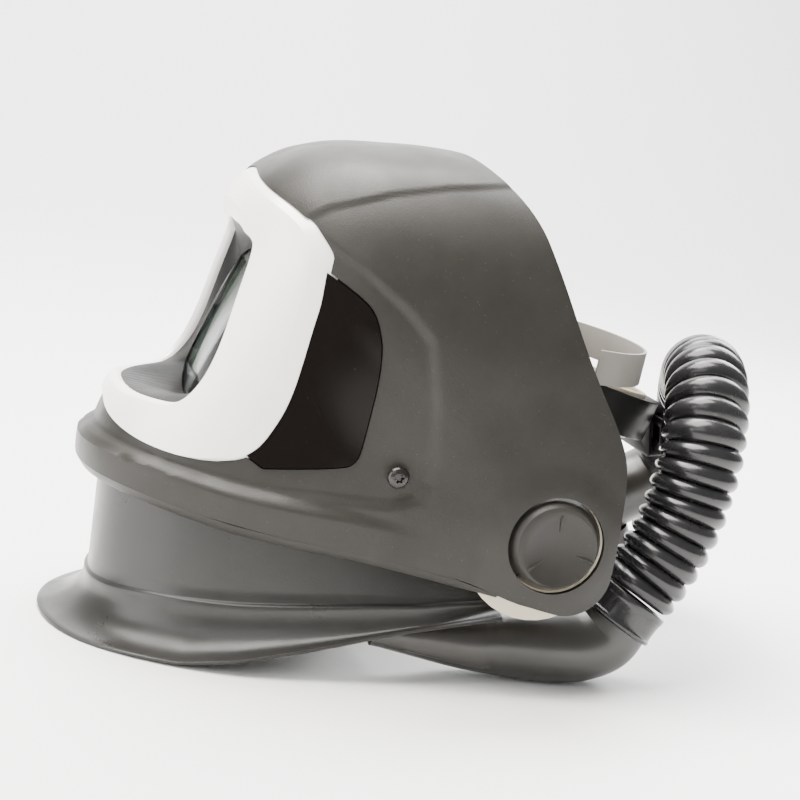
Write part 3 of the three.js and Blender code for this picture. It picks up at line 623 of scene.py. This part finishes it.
def supply_inlet():
    """The stub and its bayonet collar, open towards the blower's hose."""
    stub = turned("inlet_stub", [
        (15.1, 16), (17.5, 16), (17.5, INLET_LENGTH - 0.6), (16.9, INLET_LENGTH), (15.7, INLET_LENGTH),
        (15.1, INLET_LENGTH - 0.6),
    ], INLET_START, INLET_DIRECTION)
    finish_piece(stub, "duct_plastic", "root")
    floor = turned("inlet_floor", [(0, 20), (15, 20), (15, 21), (0, 21)], INLET_START, INLET_DIRECTION)
    finish_piece(floor, "black_plastic", "root")
    end = INLET_LENGTH
    profile = smooth_profile([
        (17.8, end - 11), (20.6, end - 11), (21.6, end - 9.6), (21.6, end - 6), (20.9, end - 5.4),
        (20.9, end - 3.8), (22, end - 3), (22, end + 0.4), (21.2, end + 1), (18.4, end + 1),
        (17.8, end + 0.4),
    ], 1)
    collar = turned("inlet_collar", profile, INLET_START, INLET_DIRECTION)
    finish_piece(collar, "black_plastic", "root", "supply_inlet")


LEFT_PATH = DUCT_JAW + LEFT_TAIL
RIGHT_PATH = [(-x, y, z) for x, y, z in DUCT_JAW] + RIGHT_TAIL
left_cuff = tube_cuff("cuff_left", LEFT_PATH, "tube_cuff_left")
rear_cuff = tube_cuff("cuff_rear", RIGHT_PATH, "tube_cuff_rear")
tube, tube_line = breathing_tube()
air_duct("duct_left", LEFT_TAIL, 1, "air_duct_left")
air_duct("duct_right", RIGHT_TAIL, -1, "air_duct_right")
supply_inlet()

# ---------------------------------------------------------------- the rounded body of the shield

HALF_WIDTH = 108
SKIN = 3
PROFILE = np.array([
    (-180, 182), (-90, 205), (-20, 228), (5, 228), (12, 229), (22, 221), (34, 216), (46, 218),
    (54, 225), (63, 216), (74, 199), (90, 183), (120, 180), (180, 182),
], float)
FRONT_SQUARENESS = 2.35
CROWN_SQUARENESS = 3.2
LOWER_EDGE = [(-260, 38), (-200, 21), (-157, 8), (-100, -5), (-12, -32)]
CORNER_AT = (8, -16)
CORNER_RADIUS = 22
REAR_EDGE = [(37, 22), (39, 44), (19, 90), (7, 132), (-2, 163), (-26, 190), (-60, 225)]
FRAME_OUTLINE = [
    (0, 182), (30, 178), (56, 170), (72, 161), (80, 150), (83.5, 136), (85, 90), (85.5, 54), (83, 45),
    (77, 43), (62, 48), (40, 56), (0, 68),
]
OPENING_OUTLINE = [
    (0, 157), (30, 155), (51, 151), (57, 145), (61, 122), (64.5, 96), (65, 78), (61, 69), (50, 70),
    (0, 76),
]
SIDE_WINDOW = [
    (-128, 150), (-93, 124), (-86, 114), (-84, 93), (-95, 50), (-98, 44), (-104, 41), (-165, 41),
]
# The soft step round the side window, as (y, z) in the side view.
PANEL_EDGE = [
    (-150, 172), (-112, 155), (-90, 139), (-69, 119), (-58, 104), (-56, 70), (-58, 45), (-61, 32),
    (-67, 23), (-81, 20), (-147, 28), (-200, 40),
]
CROWN_SEAM = [(-118, 160), (-105, 166), (-74, 172), (-45, 174), (-12, 174), (40, 170)]
SCREW_AT = (-78, 37)
# Sizes of the lower strip, the band above it, the side panel's step and the pivot's two swellings.
STRIP_HEIGHT = 5
BAND_HEIGHT = 5
PANEL_DEPTH = 1.5
SWELLING_RADIUS = 58
SWELLING_HEIGHT = 5
PIVOT_RAISE_RADIUS = 41
PIVOT_RAISE_HEIGHT = 2.2
# Mesh divisions round the body and across it.
FINE_SHELL = (430, 220)
PLAIN_BODY = (150, 110)
COARSE_BODY = (100, 80)
# Cutting prisms start or end this far out, in x and in y.
BEYOND_SIDE = 140
BEYOND_FRONT = -290
# The side view below the windows, where there are no gaps and so no painted-shade sheet is needed.
BELOW_WINDOWS = [(-300, -60), (40, -60), (40, 30), (-300, 40)]


def along_profile(turn):
    """The Hermite curve through PROFILE, at an angle above straight ahead."""
    x, y = PROFILE[:, 0], PROFILE[:, 1]
    next_at = np.clip(np.searchsorted(x, turn), 1, len(x) - 1)
    before, after = np.maximum(next_at - 2, 0), np.minimum(next_at + 1, len(x) - 1)
    width = x[next_at] - x[next_at - 1]
    start = (y[next_at] - y[before]) / (x[next_at] - x[before]) * width
    end = (y[after] - y[next_at - 1]) / (x[after] - x[next_at - 1]) * width
    t = (turn - x[next_at - 1]) / width
    return ((2 * t**3 - 3 * t**2 + 1) * y[next_at - 1] + (t**3 - 2 * t**2 + t) * start
            + (3 * t**2 - 2 * t**3) * y[next_at] + (t**3 - t**2) * end)


def squareness(turn):
    crown = smooth_step((np.abs(turn + 15) - 40) / 50)
    return FRONT_SQUARENESS + (CROWN_SQUARENESS - FRONT_SQUARENESS) * crown


def above_lower_edge(y, z):
    edge = np.array(LOWER_EDGE, float)
    return z - np.interp(y, edge[:, 0], edge[:, 1])


def distance_to_line(y, z, line):
    """Distance from side-view points to a polyline, positive above or behind it."""
    best = np.full(y.shape, 1e9)
    sign = np.ones(y.shape)
    for (y0, z0), (y1, z1) in zip(line[:-1], line[1:]):
        dy, dz = y1 - y0, z1 - z0
        t = np.clip(((y - y0) * dy + (z - z0) * dz) / (dy * dy + dz * dz), 0, 1)
        away = np.hypot(y - y0 - t * dy, z - z0 - t * dz)
        turn = dy * (z - z0) - dz * (y - y0)
        closer = away < best - 1e-9
        sign = np.where(closer, np.sign(turn), sign)
        best = np.where(closer, away, best)
    return best * sign


def surface_detail(y, z, reach):
    """How far the shield's details stand out: lower band, side panel with crown, and swelling."""
    above = above_lower_edge(y, z)
    forward = smooth_step((-60 - y) / 80)
    band = BAND_HEIGHT * smooth_step((26 - above) / 7) * forward
    panel = -PANEL_DEPTH * smooth_step((1 - distance_to_line(y, z, PANEL_EDGE)) / 7) * (above > 10)
    crown = smooth_step(distance_to_line(y, z, CROWN_SEAM) / 2.2 + 0.5) * smooth_step((y + 128) / 20)
    swelling = SWELLING_HEIGHT * smooth_step(1.35 - reach / SWELLING_RADIUS)
    swelling += PIVOT_RAISE_HEIGHT * smooth_step((PIVOT_RAISE_RADIUS - reach) / 15)
    return band, panel + crown, swelling


def body_points(turn, side, inset_front, inset_side, detailed):
    """Points of the rounded body; turn and side are arrays of degrees."""
    power = 2 / squareness(turn)
    angle = np.radians(side)
    reach = (along_profile(turn) - inset_front) * np.abs(np.cos(angle)) ** power
    y = -reach * np.cos(np.radians(turn))
    z = reach * np.sin(np.radians(turn))
    x = (HALF_WIDTH - inset_side) * np.abs(np.sin(angle)) ** power
    radial = 0
    if detailed:
        radial, outward, swelling = surface_detail(y, z, reach)
        x = x + swelling + outward * np.abs(np.sin(angle))
        radial = radial + outward * np.cos(angle)
    points = np.stack([np.sign(side) * x, y, z], -1)
    length = np.linalg.norm(points, axis=-1, keepdims=True)
    return points + points / length * np.asarray(radial)[..., None]


def rounded_body(inset_front, inset_side, detailed=False, fine=PLAIN_BODY):
    """The whole body as one closed mesh, fine in front and coarse where nothing is kept."""
    around, across = fine
    turns = np.concatenate([np.linspace(-35, 128, around), np.linspace(128, 325, 26)[1:-1]])
    turns = np.where(turns > 180, turns - 360, turns)
    blend = np.linspace(-1, 1, across + 1)[1:-1]
    sides = 90 * (0.62 * blend + 0.38 * np.sin(blend * math.pi / 2))
    turn_grid, side_grid = np.meshgrid(turns, sides, indexing="ij")
    grid = body_points(turn_grid, side_grid, inset_front, inset_side, detailed)
    poles = body_points(np.zeros(2), np.array([-90.0, 90.0]), inset_front, inset_side, detailed)
    rows, count = len(turns), len(sides)
    faces = []
    for i in range(rows):
        a, b = i * count, ((i + 1) % rows) * count
        faces.extend((a + j, a + j + 1, b + j + 1, b + j) for j in range(count - 1))
        faces.append((a, b, rows * count))
        faces.append((b + count - 1, a + count - 1, rows * count + 1))
    return new_object("body", [*grid.reshape(-1, 3), *poles], faces)


def corner_arc():
    angles = np.radians(np.linspace(-108, -5, 24))
    return [(CORNER_AT[0] + CORNER_RADIUS * math.cos(a), CORNER_AT[1] + CORNER_RADIUS * math.sin(a))
            for a in angles]


def softened(line, rounds=2):
    return [tuple(p) for p in smooth_profile(line, rounds)]


def strip_height(y):
    """How high the bevelled strip along the lower edge is, fading out at the rear corner."""
    return STRIP_HEIGHT * smooth_step((-14 - np.asarray(y, float)) / 36)


def through_sides(outline):
    """A prism that runs right through the body from side to side."""
    return prism_x(outline, -BEYOND_SIDE, BEYOND_SIDE)


def through_front(outline, rear):
    """A prism that runs in from well before the body's front, back to a given y."""
    return prism_y(outline, BEYOND_FRONT, rear)


def shield_rim():
    lower = softened(LOWER_EDGE)
    ends = [np.linspace(a, b, 8, endpoint=False) for a, b in zip(lower[:-1], lower[1:])]
    lower = [(y, z + float(strip_height(y))) for y, z in np.vstack([*ends, lower[-1:]])]
    return [*lower, *corner_arc(), *softened(REAR_EDGE, 3), (-260, 225)]


def edge_ring(height, inset_front, inset_side, sides):
    """Points of the body at a share of the strip's height above its lower edge, found by halving."""
    low, high = np.full(sides.shape, -42.0), np.full(sides.shape, 60.0)
    for _ in range(40):
        turn = (low + high) / 2
        points = body_points(turn, sides, inset_front, inset_side, True)
        wanted = height * strip_height(points[:, 1])
        over = above_lower_edge(points[:, 1], points[:, 2]) > wanted
        low, high = np.where(over, low, turn), np.where(over, turn, high)
    return points


def lower_strip():
    """The bevelled strip that runs under the shield's band from corner to corner."""
    sides = np.degrees(np.arcsin(np.linspace(-0.9994, 0.9994, 241)))
    # Each corner: share of the strip's height, inset in front, inset at the sides.
    corners = [
        (1, 0.1, 0.1), (0.93, 0.05, 0.05), (0.1, 2.6, 1.8), (0, 3.2, 2.4), (0, 5.0, 4.2), (1, 3.4, 3.2),
    ]
    rows = [edge_ring(*corner, sides) for corner in corners]
    item = loft("shield_lower_strip", [list(section) for section in zip(*rows)])
    return finish_piece(item, "shell_grey", "outer_shield", smooth_angle=30)


FRAME_CURVE = rounded(both_sides(FRAME_OUTLINE), 3)
OPENING_CURVE = rounded(both_sides(OPENING_OUTLINE), 3)
WINDOW_CURVE = rounded(SIDE_WINDOW, 2)


def shield_shell():
    shell = rounded_body(0, 0, True, FINE_SHELL)
    cut(shell, rounded_body(SKIN, SKIN, True), "DIFFERENCE")
    cut(shell, through_sides(shield_rim()), "INTERSECT")
    cut(shell, through_front(grown(FRAME_CURVE, 0.7), -70), "DIFFERENCE")
    cut(shell, through_sides(grown(WINDOW_CURVE, 0.8)), "DIFFERENCE")
    cut(shell, through_sides(circle(24.9, 96)), "DIFFERENCE")
    for side in (-1, 1):
        sink = turned("sink", [(0, 0), (6.3, 0), (6.9, 0.8), (6.9, 9), (0, 9)],
                      (side * 103.4, *SCREW_AT), (side, 0, 0))
        cut(shell, sink, "DIFFERENCE")
    return finish_piece(shell, "shell_grey", "outer_shield", "shield_shell", smooth_angle=28)


shield_shell()
lower_strip()


def side_windows():
    pane = rounded_body(0.8, 0.8)
    cut(pane, rounded_body(2.8, 2.8, fine=COARSE_BODY), "DIFFERENCE")
    cut(pane, prism_x(WINDOW_CURVE, 20, BEYOND_SIDE), "INTERSECT")
    cut(pane, through_front(grown(FRAME_CURVE, 0.8), -60), "DIFFERENCE")
    finish_piece(pane, "smoked_window", "outer_shield", "side_window_left", smooth_angle=30)
    pane.name = "window_pane_left"
    mirror_piece(pane, "window_pane_right", "smoked_window", "outer_shield", "side_window_right", 30)


side_windows()


def gap_shade_sheet():
    """A thin black sheet behind the gaps round the frame and the side windows: painted shade, so that the gaps
    look dark.
    """
    # This black sheet is painted shade: it stands in for the shadow inside the gaps, not for a real part.
    shade_sheet = rounded_body(3.6, 3.6)
    cut(shade_sheet, rounded_body(5.4, 5.4, fine=COARSE_BODY), "DIFFERENCE")
    keep = through_sides(grown(WINDOW_CURVE, 5))
    cut(keep, through_front(grown(FRAME_CURVE, 5), -70), "UNION")
    cut(shade_sheet, keep, "INTERSECT")
    cut(shade_sheet, through_front(grown(FRAME_CURVE, -7), -50), "DIFFERENCE")
    cut(shade_sheet, through_sides(BELOW_WINDOWS), "DIFFERENCE")
    shade_sheet.name = "frame_gap_shade"
    return finish_piece(shade_sheet, "black_plastic", "outer_shield", smooth_angle=30)


gap_shade_sheet()

# ---------------------------------------------------------------- silver front frame

FRAME_PROUD = 1.2
WINDOW_LEAN = math.radians(29)
SLOPE_UP = np.array([0, math.sin(WINDOW_LEAN), math.cos(WINDOW_LEAN)])
INWARD = np.array([0, math.cos(WINDOW_LEAN), -math.sin(WINDOW_LEAN)])
WINDOW_MIDDLE = np.array([0, -153, 101])
RING_MIDDLE_Z = 112
PLATE_HALF_SIZE = np.array([53, 43])


def front_depth(x, z, proud):
    """The y of the rounded body's front at a front-view point, found by halving."""
    near, far = np.full(x.shape, -300.0), np.full(x.shape, -5.0)
    for _ in range(44):
        y = (near + far) / 2
        turn = np.degrees(np.arctan2(z, -y))
        n = squareness(turn)
        reach = np.hypot(y, z) / (along_profile(turn) + proud)
        outside = reach**n + (np.abs(x) / (HALF_WIDTH + proud)) ** n > 1
        near, far = np.where(outside, y, near), np.where(outside, far, y)
    return (near + far) / 2


def radius_at(curve, angles):
    """Distance from the ring's middle to a closed front-view curve, at the given angles."""
    x, z = curve[:, 0], curve[:, 1] - RING_MIDDLE_Z
    angle = np.arctan2(z, x)
    order = np.argsort(angle)
    angle, radius = angle[order], np.hypot(x, z)[order]
    return np.interp(angles, angle, radius, period=2 * math.pi)


def brow_at(angles):
    """How far an angle of the ring lies in the broad top edge, from 0 to 1."""
    return smooth_step((np.sin(angles) - 0.62) / 0.25)


def frame_row(away, distance, height):
    """Points at a distance from the ring's middle and a height above the frame's front face."""
    x, z = away[:, 0] * distance, away[:, 1] * distance + RING_MIDDLE_Z
    return np.stack([x, front_depth(x, z, FRAME_PROUD + height), z], 1)


def front_frame():
    """A ring of matching sections: inner wall, soft front face, bevel strip and outer wall."""
    angles = np.linspace(-math.pi, math.pi, 360, endpoint=False)
    inner, outer = radius_at(OPENING_CURVE, angles), radius_at(FRAME_CURVE, angles)
    width = outer - inner
    away = np.stack([np.cos(angles), np.sin(angles)], 1)
    brow = brow_at(angles)
    chamfer = 1.2 + 7 * brow
    # Each row: distance from the opening's edge, height above the body.
    rows = [
        (0 * width, -3 - 2.5 * brow), (0.12 * chamfer, -2.3 - 2.3 * brow),
        (0.9 * chamfer, -0.55 - 0.2 * brow),
        (chamfer + 0.3, -0.18), (chamfer + 1.6, 0.05), (0.4 * width, 0.25), (0.6 * width, 0.2),
        (width - 5, 0), (width - 1.9, -0.1), (width - 1.7, -0.25), (width + 0.2, -1.9),
        (width + 0.42, -2.4), (width + 0.42, -5.2), (width - 3, -6.6), (0.5 * width, -6.2),
        (2.4 + 0 * width, -6.4),
    ]
    sections = [frame_row(away, inner + distance, height) for distance, height in rows]
    sections.insert(0, sections[0] + INWARD * 2.2)
    item = loft("silver_frame", [list(section) for section in sections], closed_rows=True)
    return finish_piece(item, "frame_silver", "outer_shield", "front_frame", smooth_angle=35)


def window_bezel():
    """The black funnel between the frame's opening and the outer cover plate."""
    angles = np.linspace(-math.pi, math.pi, 240, endpoint=False)
    away = np.stack([np.cos(angles), np.sin(angles)], 1)
    mouth = frame_row(away, radius_at(OPENING_CURVE, angles) + 1.2, -3.4 - 2.5 * brow_at(angles))
    shares = away / PLATE_HALF_SIZE
    squared = np.max(np.abs(shares), axis=1)
    plate = away / (0.35 * squared + 0.65 * np.hypot(shares[:, 0], shares[:, 1]))[:, None]
    floor = WINDOW_MIDDLE + np.outer(plate[:, 0], [1, 0, 0]) + np.outer(plate[:, 1], SLOPE_UP)
    floor = floor + INWARD * 0.4
    outward = np.stack([away[:, 0], 0 * angles, away[:, 1]], 1)
    rows = [mouth, 0.75 * mouth + 0.25 * floor, 0.25 * mouth + 0.75 * floor, floor]
    behind = [floor + outward * 1.6, 0.5 * mouth + 0.5 * floor + outward * 2.2, mouth + INWARD * 1.6]
    item = loft("window_bezel", [list(row) for row in rows + behind], closed_rows=True)
    return finish_piece(item, "black_plastic", "outer_shield", smooth_angle=35)


window_bezel()
front_frame()

# ---------------------------------------------------------------- filter cassette


def refined(node, name, rounding):
    """A copy of a CAD piece with its edges rounded by a radius, which stands for it."""
    item = node_copy(node, name)

    def join_faces(form):
        bmesh.ops.remove_doubles(form, verts=form.verts, dist=2e-5)
        flat = math.radians(2)
        bmesh.ops.dissolve_limit(form, angle_limit=flat, verts=form.verts, edges=form.edges)

    edit_mesh(item.data, join_faces)
    modifier = item.modifiers.new("rounding", "BEVEL")
    modifier.width = rounding * MM
    modifier.segments = 3
    modifier.limit_method = "ANGLE"
    modifier.angle_limit = math.radians(30)
    bake_modifiers(item)
    return finish_piece(item, NODE_SLOT[node], NODE_BODY[node], node)


CASSETTE_ROUNDING = {
    "filter_cassette": 0.5, "filter_glass": 0.3, "outer_cover_plate": 0.25, "inner_cover_plate": 0.2,
    "shade_button": 0.35, "sensitivity_button": 0.35, "delay_button": 0.35,
}
for node_name, rounding in CASSETTE_ROUNDING.items():
    refined(node_name, node_name.replace("_button", "_key") + "_fine", rounding)

# ---------------------------------------------------------------- pivots and screws

KNOB_RADIUS = 24.6
KNOB_BASE_X = 104
KNOB_FACE_X = 117.5
DISH_RADIUS = 19.4
DISH_DEPTH = 4.2
DISH_SHIFT = (1.6, -2.2)
RIDGE_ANGLES = (88, 208, 338)
# Along each grip ridge: distance from the dish's middle, height, share of the full width.
RIDGE_STATIONS = [(9.5, 0.1, 0.25), (12, 0.75, 0.5), (15, 1.1, 0.6), (17.6, 1.0, 0.6), (18.7, 0.2, 0.4)]

SCREW_SURFACE_X = 103.6


def pivot_knob():
    """A sloping collar round an off-centre dish that has three grip ridges in it."""
    r, face = KNOB_RADIUS, KNOB_FACE_X
    profile = smooth_profile([
        (r - 0.6, KNOB_BASE_X + 0.4), (r, KNOB_BASE_X + 1), (r, KNOB_BASE_X + 6),
        (r - 0.9, KNOB_BASE_X + 7.4), (r - 3.6, face - 0.9), (r - 4.6, face), (0, face),
    ], 2)
    base = [(0, KNOB_BASE_X), (r - 1.2, KNOB_BASE_X)]
    knob = turned("knob_left", [*base, *profile], (0, 0, 0), (1, 0, 0), 120)
    ball = (DISH_RADIUS**2 + DISH_DEPTH**2) / (2 * DISH_DEPTH)
    turns = np.linspace(-math.pi / 2, math.pi / 2, 60)
    sphere = [(ball * math.cos(t), face - DISH_DEPTH + ball + ball * math.sin(t)) for t in turns]
    dish = turned("dish", sphere, (0, *DISH_SHIFT), (1, 0, 0), 120)
    cut(knob, dish, "DIFFERENCE")
    for angle in np.radians(RIDGE_ANGLES):
        cut(knob, grip_ridge(angle, ball), "UNION")
    return finish_piece(knob, "shell_grey", "pivot_knob_left", "pivot_knob_left", smooth_angle=28)


def grip_ridge(angle, ball):
    """A low tapering fin that runs outward over the dish's bowl."""
    along = np.array([0, math.cos(angle), math.sin(angle)])
    across = np.array([0, -math.sin(angle), math.cos(angle)])
    up = np.array([1, 0, 0])
    sections = []
    for distance, height, share in RIDGE_STATIONS:
        bowl = KNOB_FACE_X - DISH_DEPTH + ball - math.sqrt(ball**2 - distance**2)
        middle = np.array([0, *DISH_SHIFT]) + along * distance + up * bowl
        shoulder = height * 0.8
        outline = [
            (-1.6, -1), (1.6, -1), (1.3, 0), (0.7, shoulder), (0, height), (-0.7, shoulder), (-1.3, 0),
        ]
        sections.append([middle + across * a * share + up * h for a, h in outline])
    return loft("ridge", sections)


def side_screw():
    """A black button-head screw with a six-lobed socket."""
    surface = SCREW_SURFACE_X
    dome = smooth_profile([
        (5.5, surface + 0.2), (5.6, surface + 1.2), (4.9, surface + 2.5), (3.3, surface + 3.4),
        (2.6, surface + 3.5),
    ], 2)
    shank = [(0, surface - 5), (2.2, surface - 5), (2.2, surface + 0.2)]
    profile = [*shank, *dome, (0, surface + 3.5)]
    head = turned("screw_left", profile, (0, *SCREW_AT), (1, 0, 0), 72)
    turns = full_turn(72)
    lobes = 2.15 + 0.42 * np.cos(6 * turns)
    star = np.stack([SCREW_AT[0] + lobes * np.cos(turns), SCREW_AT[1] + lobes * np.sin(turns)], 1)
    cut(head, prism_x(star, surface + 1.4, surface + 6), "DIFFERENCE")
    return finish_piece(head, "dark_steel", "outer_shield", "side_screw_left", smooth_angle=35)


knob = pivot_knob()
mirror_piece(knob, "knob_right", "shell_grey", "pivot_knob_right", "pivot_knob_right", 28)
screw = side_screw()
mirror_piece(screw, "screw_right", "dark_steel", "outer_shield", "side_screw_right", 35)

# ---------------------------------------------------------------- chin guard

CHIN_HALF_WIDTH = 87.5
CHIN_LENGTH = 219
CHIN_WALL = 2.6
JAW_SEAM = [(-260, 28), (-140, 27), (-100, 16), (-60, -4), (-26, -30)]
# By degrees round the jaw from its front: the fold's height, the lip's height and how far it flares.
CHIN_FOLD = [(0, -29), (30, -29), (50, -31.5), (70, -32), (80, -33.5), (88, -36)]
CHIN_LIP = [
    (0, -47), (10, -48.5), (20, -51.3), (30, -53.6), (40, -56.6), (50, -55), (60, -51), (75, -44),
    (88, -40),
]
CHIN_FLARE = [(0, 35), (20, 33), (40, 29), (50, 26.5), (60, 21), (70, 15.5), (80, 12.5), (88, 11)]
CHIN_TURN = 86


def at(line, value):
    return np.interp(value, [p[0] for p in line], [p[1] for p in line])


def jaw_point(degrees):
    angle = math.radians(degrees)
    power = 2 / FRONT_SQUARENESS
    x = CHIN_HALF_WIDTH * abs(math.sin(angle)) ** power * math.copysign(1, angle)
    return np.array([x, -CHIN_LENGTH * abs(math.cos(angle)) ** power])


def chin_section(degrees):
    """The wall, its fold, the flared cove, the rounded lip and the inside, as (out, up)."""
    turn = abs(degrees)
    y = jaw_point(degrees)[1]
    top = at(JAW_SEAM, y) - 1.2
    fold = min(at(CHIN_FOLD, turn), top - 2)
    flare, lip = at(CHIN_FLARE, turn), at(CHIN_LIP, turn)
    bulge = 8 * min(1, (top - fold) / 30)
    outer = [(bulge * t, top + (fold + 1 - top) * t) for t in np.linspace(0, 1, 10)]
    start = np.array([bulge + 2.2, fold - 1.0])
    outer += [(bulge + 0.5, fold + 0.3), (bulge + 1.7, fold - 0.1), tuple(start)]
    reach, drop = max(flare - start[0], 1), start[1] - lip
    for t in np.linspace(0.08, 1, 16):
        turn_here = t * math.pi / 2
        out = reach * (1 - math.cos(turn_here))
        outer.append((start[0] + out, start[1] - 0.97 * drop * math.sin(turn_here)))
    end = np.array(outer[-1])
    rim = [end + (0.9, -0.5), end + (1.1, -1.4), end + (0.4, -2.2), end + (-1.2, -2.6)]
    inside = [(p[0] - CHIN_WALL, p[1] - 0.6) for p in outer[-4:12:-2]]
    inside += [(bulge * t - CHIN_WALL, top + (fold + 1 - top) * t) for t in np.linspace(1, 0, 5)]
    return [*outer, *rim, *inside]


def chin_guard():
    turns = CHIN_TURN * np.sin(np.linspace(-math.pi / 2, math.pi / 2, 181) * 0.96)
    turns *= CHIN_TURN / turns[-1]
    sections = []
    for degrees in turns:
        x, y = jaw_point(degrees)
        ahead = jaw_point(min(degrees + 0.3, 89)) - jaw_point(max(degrees - 0.3, -89))
        out = np.array([-ahead[1], ahead[0]])
        out *= -1 if out.dot((x, y)) < 0 else 1
        out = unit(out)
        sections.append([(x + out[0] * a, y + out[1] * a, b) for a, b in chin_section(degrees)])
    item = loft("chin_guard_flared", sections)
    return finish_piece(item, "chin_grey", "root", "chin_guard", smooth_angle=45)


chin_guard()

# ---------------------------------------------------------------- inner headtop and harness

# How far each plain CAD piece's edges are rounded, in millimetres.
ROUNDED = {
    "visor_frame": 0.8, "clear_visor": 0.3, "pivot_bolt_left": 0.4, "pivot_bolt_right": 0.4,
    "pivot_disc_left": 0.6, "pivot_disc_right": 0.6, "nape_pad": 0.9, "headband": 0.5,
    "ratchet_housing": 1.2, "band_rack_left": 0.3, "band_rack_right": 0.3, "crown_strap_front": 0.4,
    "crown_strap_rear": 0.4, "harness_arm_left": 0.8, "harness_arm_right": 0.8,
}
for node_name, rounding in ROUNDED.items():
    refined(node_name, node_name + "_fine", rounding)

SEAL_STEPS = 144
SEAL_FOLDS = 26
SEAL_THICKNESS = 1.3
PAD_VOXEL = 0.0022
PAD_PRESSURE = 3
PAD_FRAMES = 20
PAD_REACH = 0.0012
PINNED_SHARE = 0.93


def seal_edges(angle):
    """The face seal's outer edge, at the visor frame, and its elastic inner edge, at the face."""
    c, s = math.cos(angle), math.sin(angle)
    outer = np.array([80 * c, -114 + 36 * s + 50 * c * c, 76 + 46 * s])
    inner = np.array([64 * c, -84 + 34 * c * c, 28 + 72 * s])
    return outer, inner


def face_seal():
    """A gathered fabric collar: it hangs in soft folds that deepen towards the elastic inner edge."""
    sections = []
    for i in range(SEAL_STEPS):
        angle = 2 * math.pi * i / SEAL_STEPS
        outer, inner = seal_edges(angle)
        ahead = seal_edges(angle + 0.02)[0] - seal_edges(angle - 0.02)[0]
        normal = unit(np.cross(inner - outer, ahead))
        front, back = [], []
        for t in np.linspace(0.02, 0.98, 14):
            fold = 1.1 * t**1.5 * math.sin(SEAL_FOLDS * angle + 0.8 * math.sin(3 * angle))
            slack = -2.2 * math.sin(math.pi * t) ** 2
            middle = outer + (inner - outer) * t + normal * (fold + slack)
            front.append(middle + normal * SEAL_THICKNESS / 2)
            back.append(middle - normal * SEAL_THICKNESS / 2)
        hem = inner + normal * 0.2
        sections.append([*front, hem + normal * 1.5, hem - normal * 1.5, *back[::-1]])
    item = loft("face_seal_cloth", sections, closed_rows=True)
    finish_piece(item, "seal_fabric", "root", "face_seal", smooth_angle=80)


def puffed(item):
    """Runs a short pressure simulation that fills out a padded piece, then keeps its shape."""
    remesh = item.modifiers.new("remesh", "REMESH")
    remesh.mode = "VOXEL"
    remesh.voxel_size = PAD_VOXEL
    bake_modifiers(item)
    pinned = item.vertex_groups.new(name="pinned")
    rest = [v.co.copy() for v in item.data.vertices]
    middle = sum(rest, Vector()) / len(rest)
    far = max((p - middle).length for p in rest)
    cloth = item.modifiers.new("cloth", "CLOTH")
    ends = [i for i, p in enumerate(rest) if (p - middle).length > PINNED_SHARE * far]
    pinned.add(ends, 1.0, "REPLACE")
    cloth.settings.vertex_group_mass = "pinned"
    cloth.settings.use_pressure = True
    cloth.settings.uniform_pressure_force = PAD_PRESSURE
    cloth.settings.quality = 6
    cloth.settings.effector_weights.gravity = 0
    for number in range(1, PAD_FRAMES + 1):
        bpy.context.scene.frame_set(number)
    bake_modifiers(item)
    bpy.context.scene.frame_set(1)
    for vertex, before in zip(item.data.vertices, rest):
        moved = vertex.co - before
        if moved.length > PAD_REACH:
            vertex.co = before + moved * (PAD_REACH / moved.length)
    return item


def sweatband():
    """The brow pad: fabric over foam, puffed a little between its ends."""
    item = node_copy("sweatband", "brow_pad")
    puffed(item)
    finish_piece(item, "seal_fabric", "harness", "sweatband", smooth_angle=80)


face_seal()
sweatband()


# ---------------------------------------------------------------- staging


def add_light(name, place, aim, size, power, color=(1, 1, 1)):
    data = bpy.data.lights.new(name, "AREA")
    data.energy = power
    data.size = size
    data.color = color
    light = bpy.data.objects.new(name, data)
    light.location = place
    light.rotation_euler = (Vector(aim) - Vector(place)).to_track_quat("-Z", "Y").to_euler()
    bpy.context.scene.collection.objects.link(light)


def add_stage():
    # A studio sweep: a level floor that curves up into a wall far behind.
    turns = np.radians(np.linspace(0, 90, 25))
    line = [(5, 0), *[(-2.2 - 1.5 * math.sin(t), 1.5 - 1.5 * math.cos(t)) for t in turns], (-3.7, 5)]
    points = [(x, y, z) for y in (-6, 6) for x, z in line]
    count = len(line)
    faces = [(i, i + 1, count + i + 1, count + i) for i in range(count - 1)]
    mesh = bpy.data.meshes.new("sweep")
    mesh.from_pydata(points, [], faces)
    mesh.shade_smooth()
    floor = bpy.data.objects.new("sweep", mesh)
    bpy.context.scene.collection.objects.link(floor)
    look = Look("pale floor", (0.86, 0.86, 0.85), 0.6)
    look.tint(look.spread(look.noise(3, 3), 0.4, 0.6, 0.0, 0.2), (0.82, 0.82, 0.81))
    floor.data.materials.append(look.material)
    world = bpy.data.worlds.new("studio")
    world.use_nodes = True
    world.node_tree.nodes["Background"].inputs["Color"].default_value = (1, 1, 1, 1)
    world.node_tree.nodes["Background"].inputs["Strength"].default_value = 0.55
    bpy.context.scene.world = world
    middle = (0, 0, 0.14)
    add_light("key", (0.1, -0.45, 1.5), middle, 1.2, 105, (1, 0.97, 0.92))
    add_light("fill", (1.2, -0.9, 1.0), middle, 0.8, 6)
    add_light("rim", (-0.7, 0.9, 1.0), middle, 0.8, 34)
    add_light("front", (0.5, -1.5, 0.4), middle, 1.0, 20)
    add_light("backdrop", (-1.6, 0, 3.6), (-3.4, 0, 0.9), 2.6, 520)


add_stage()
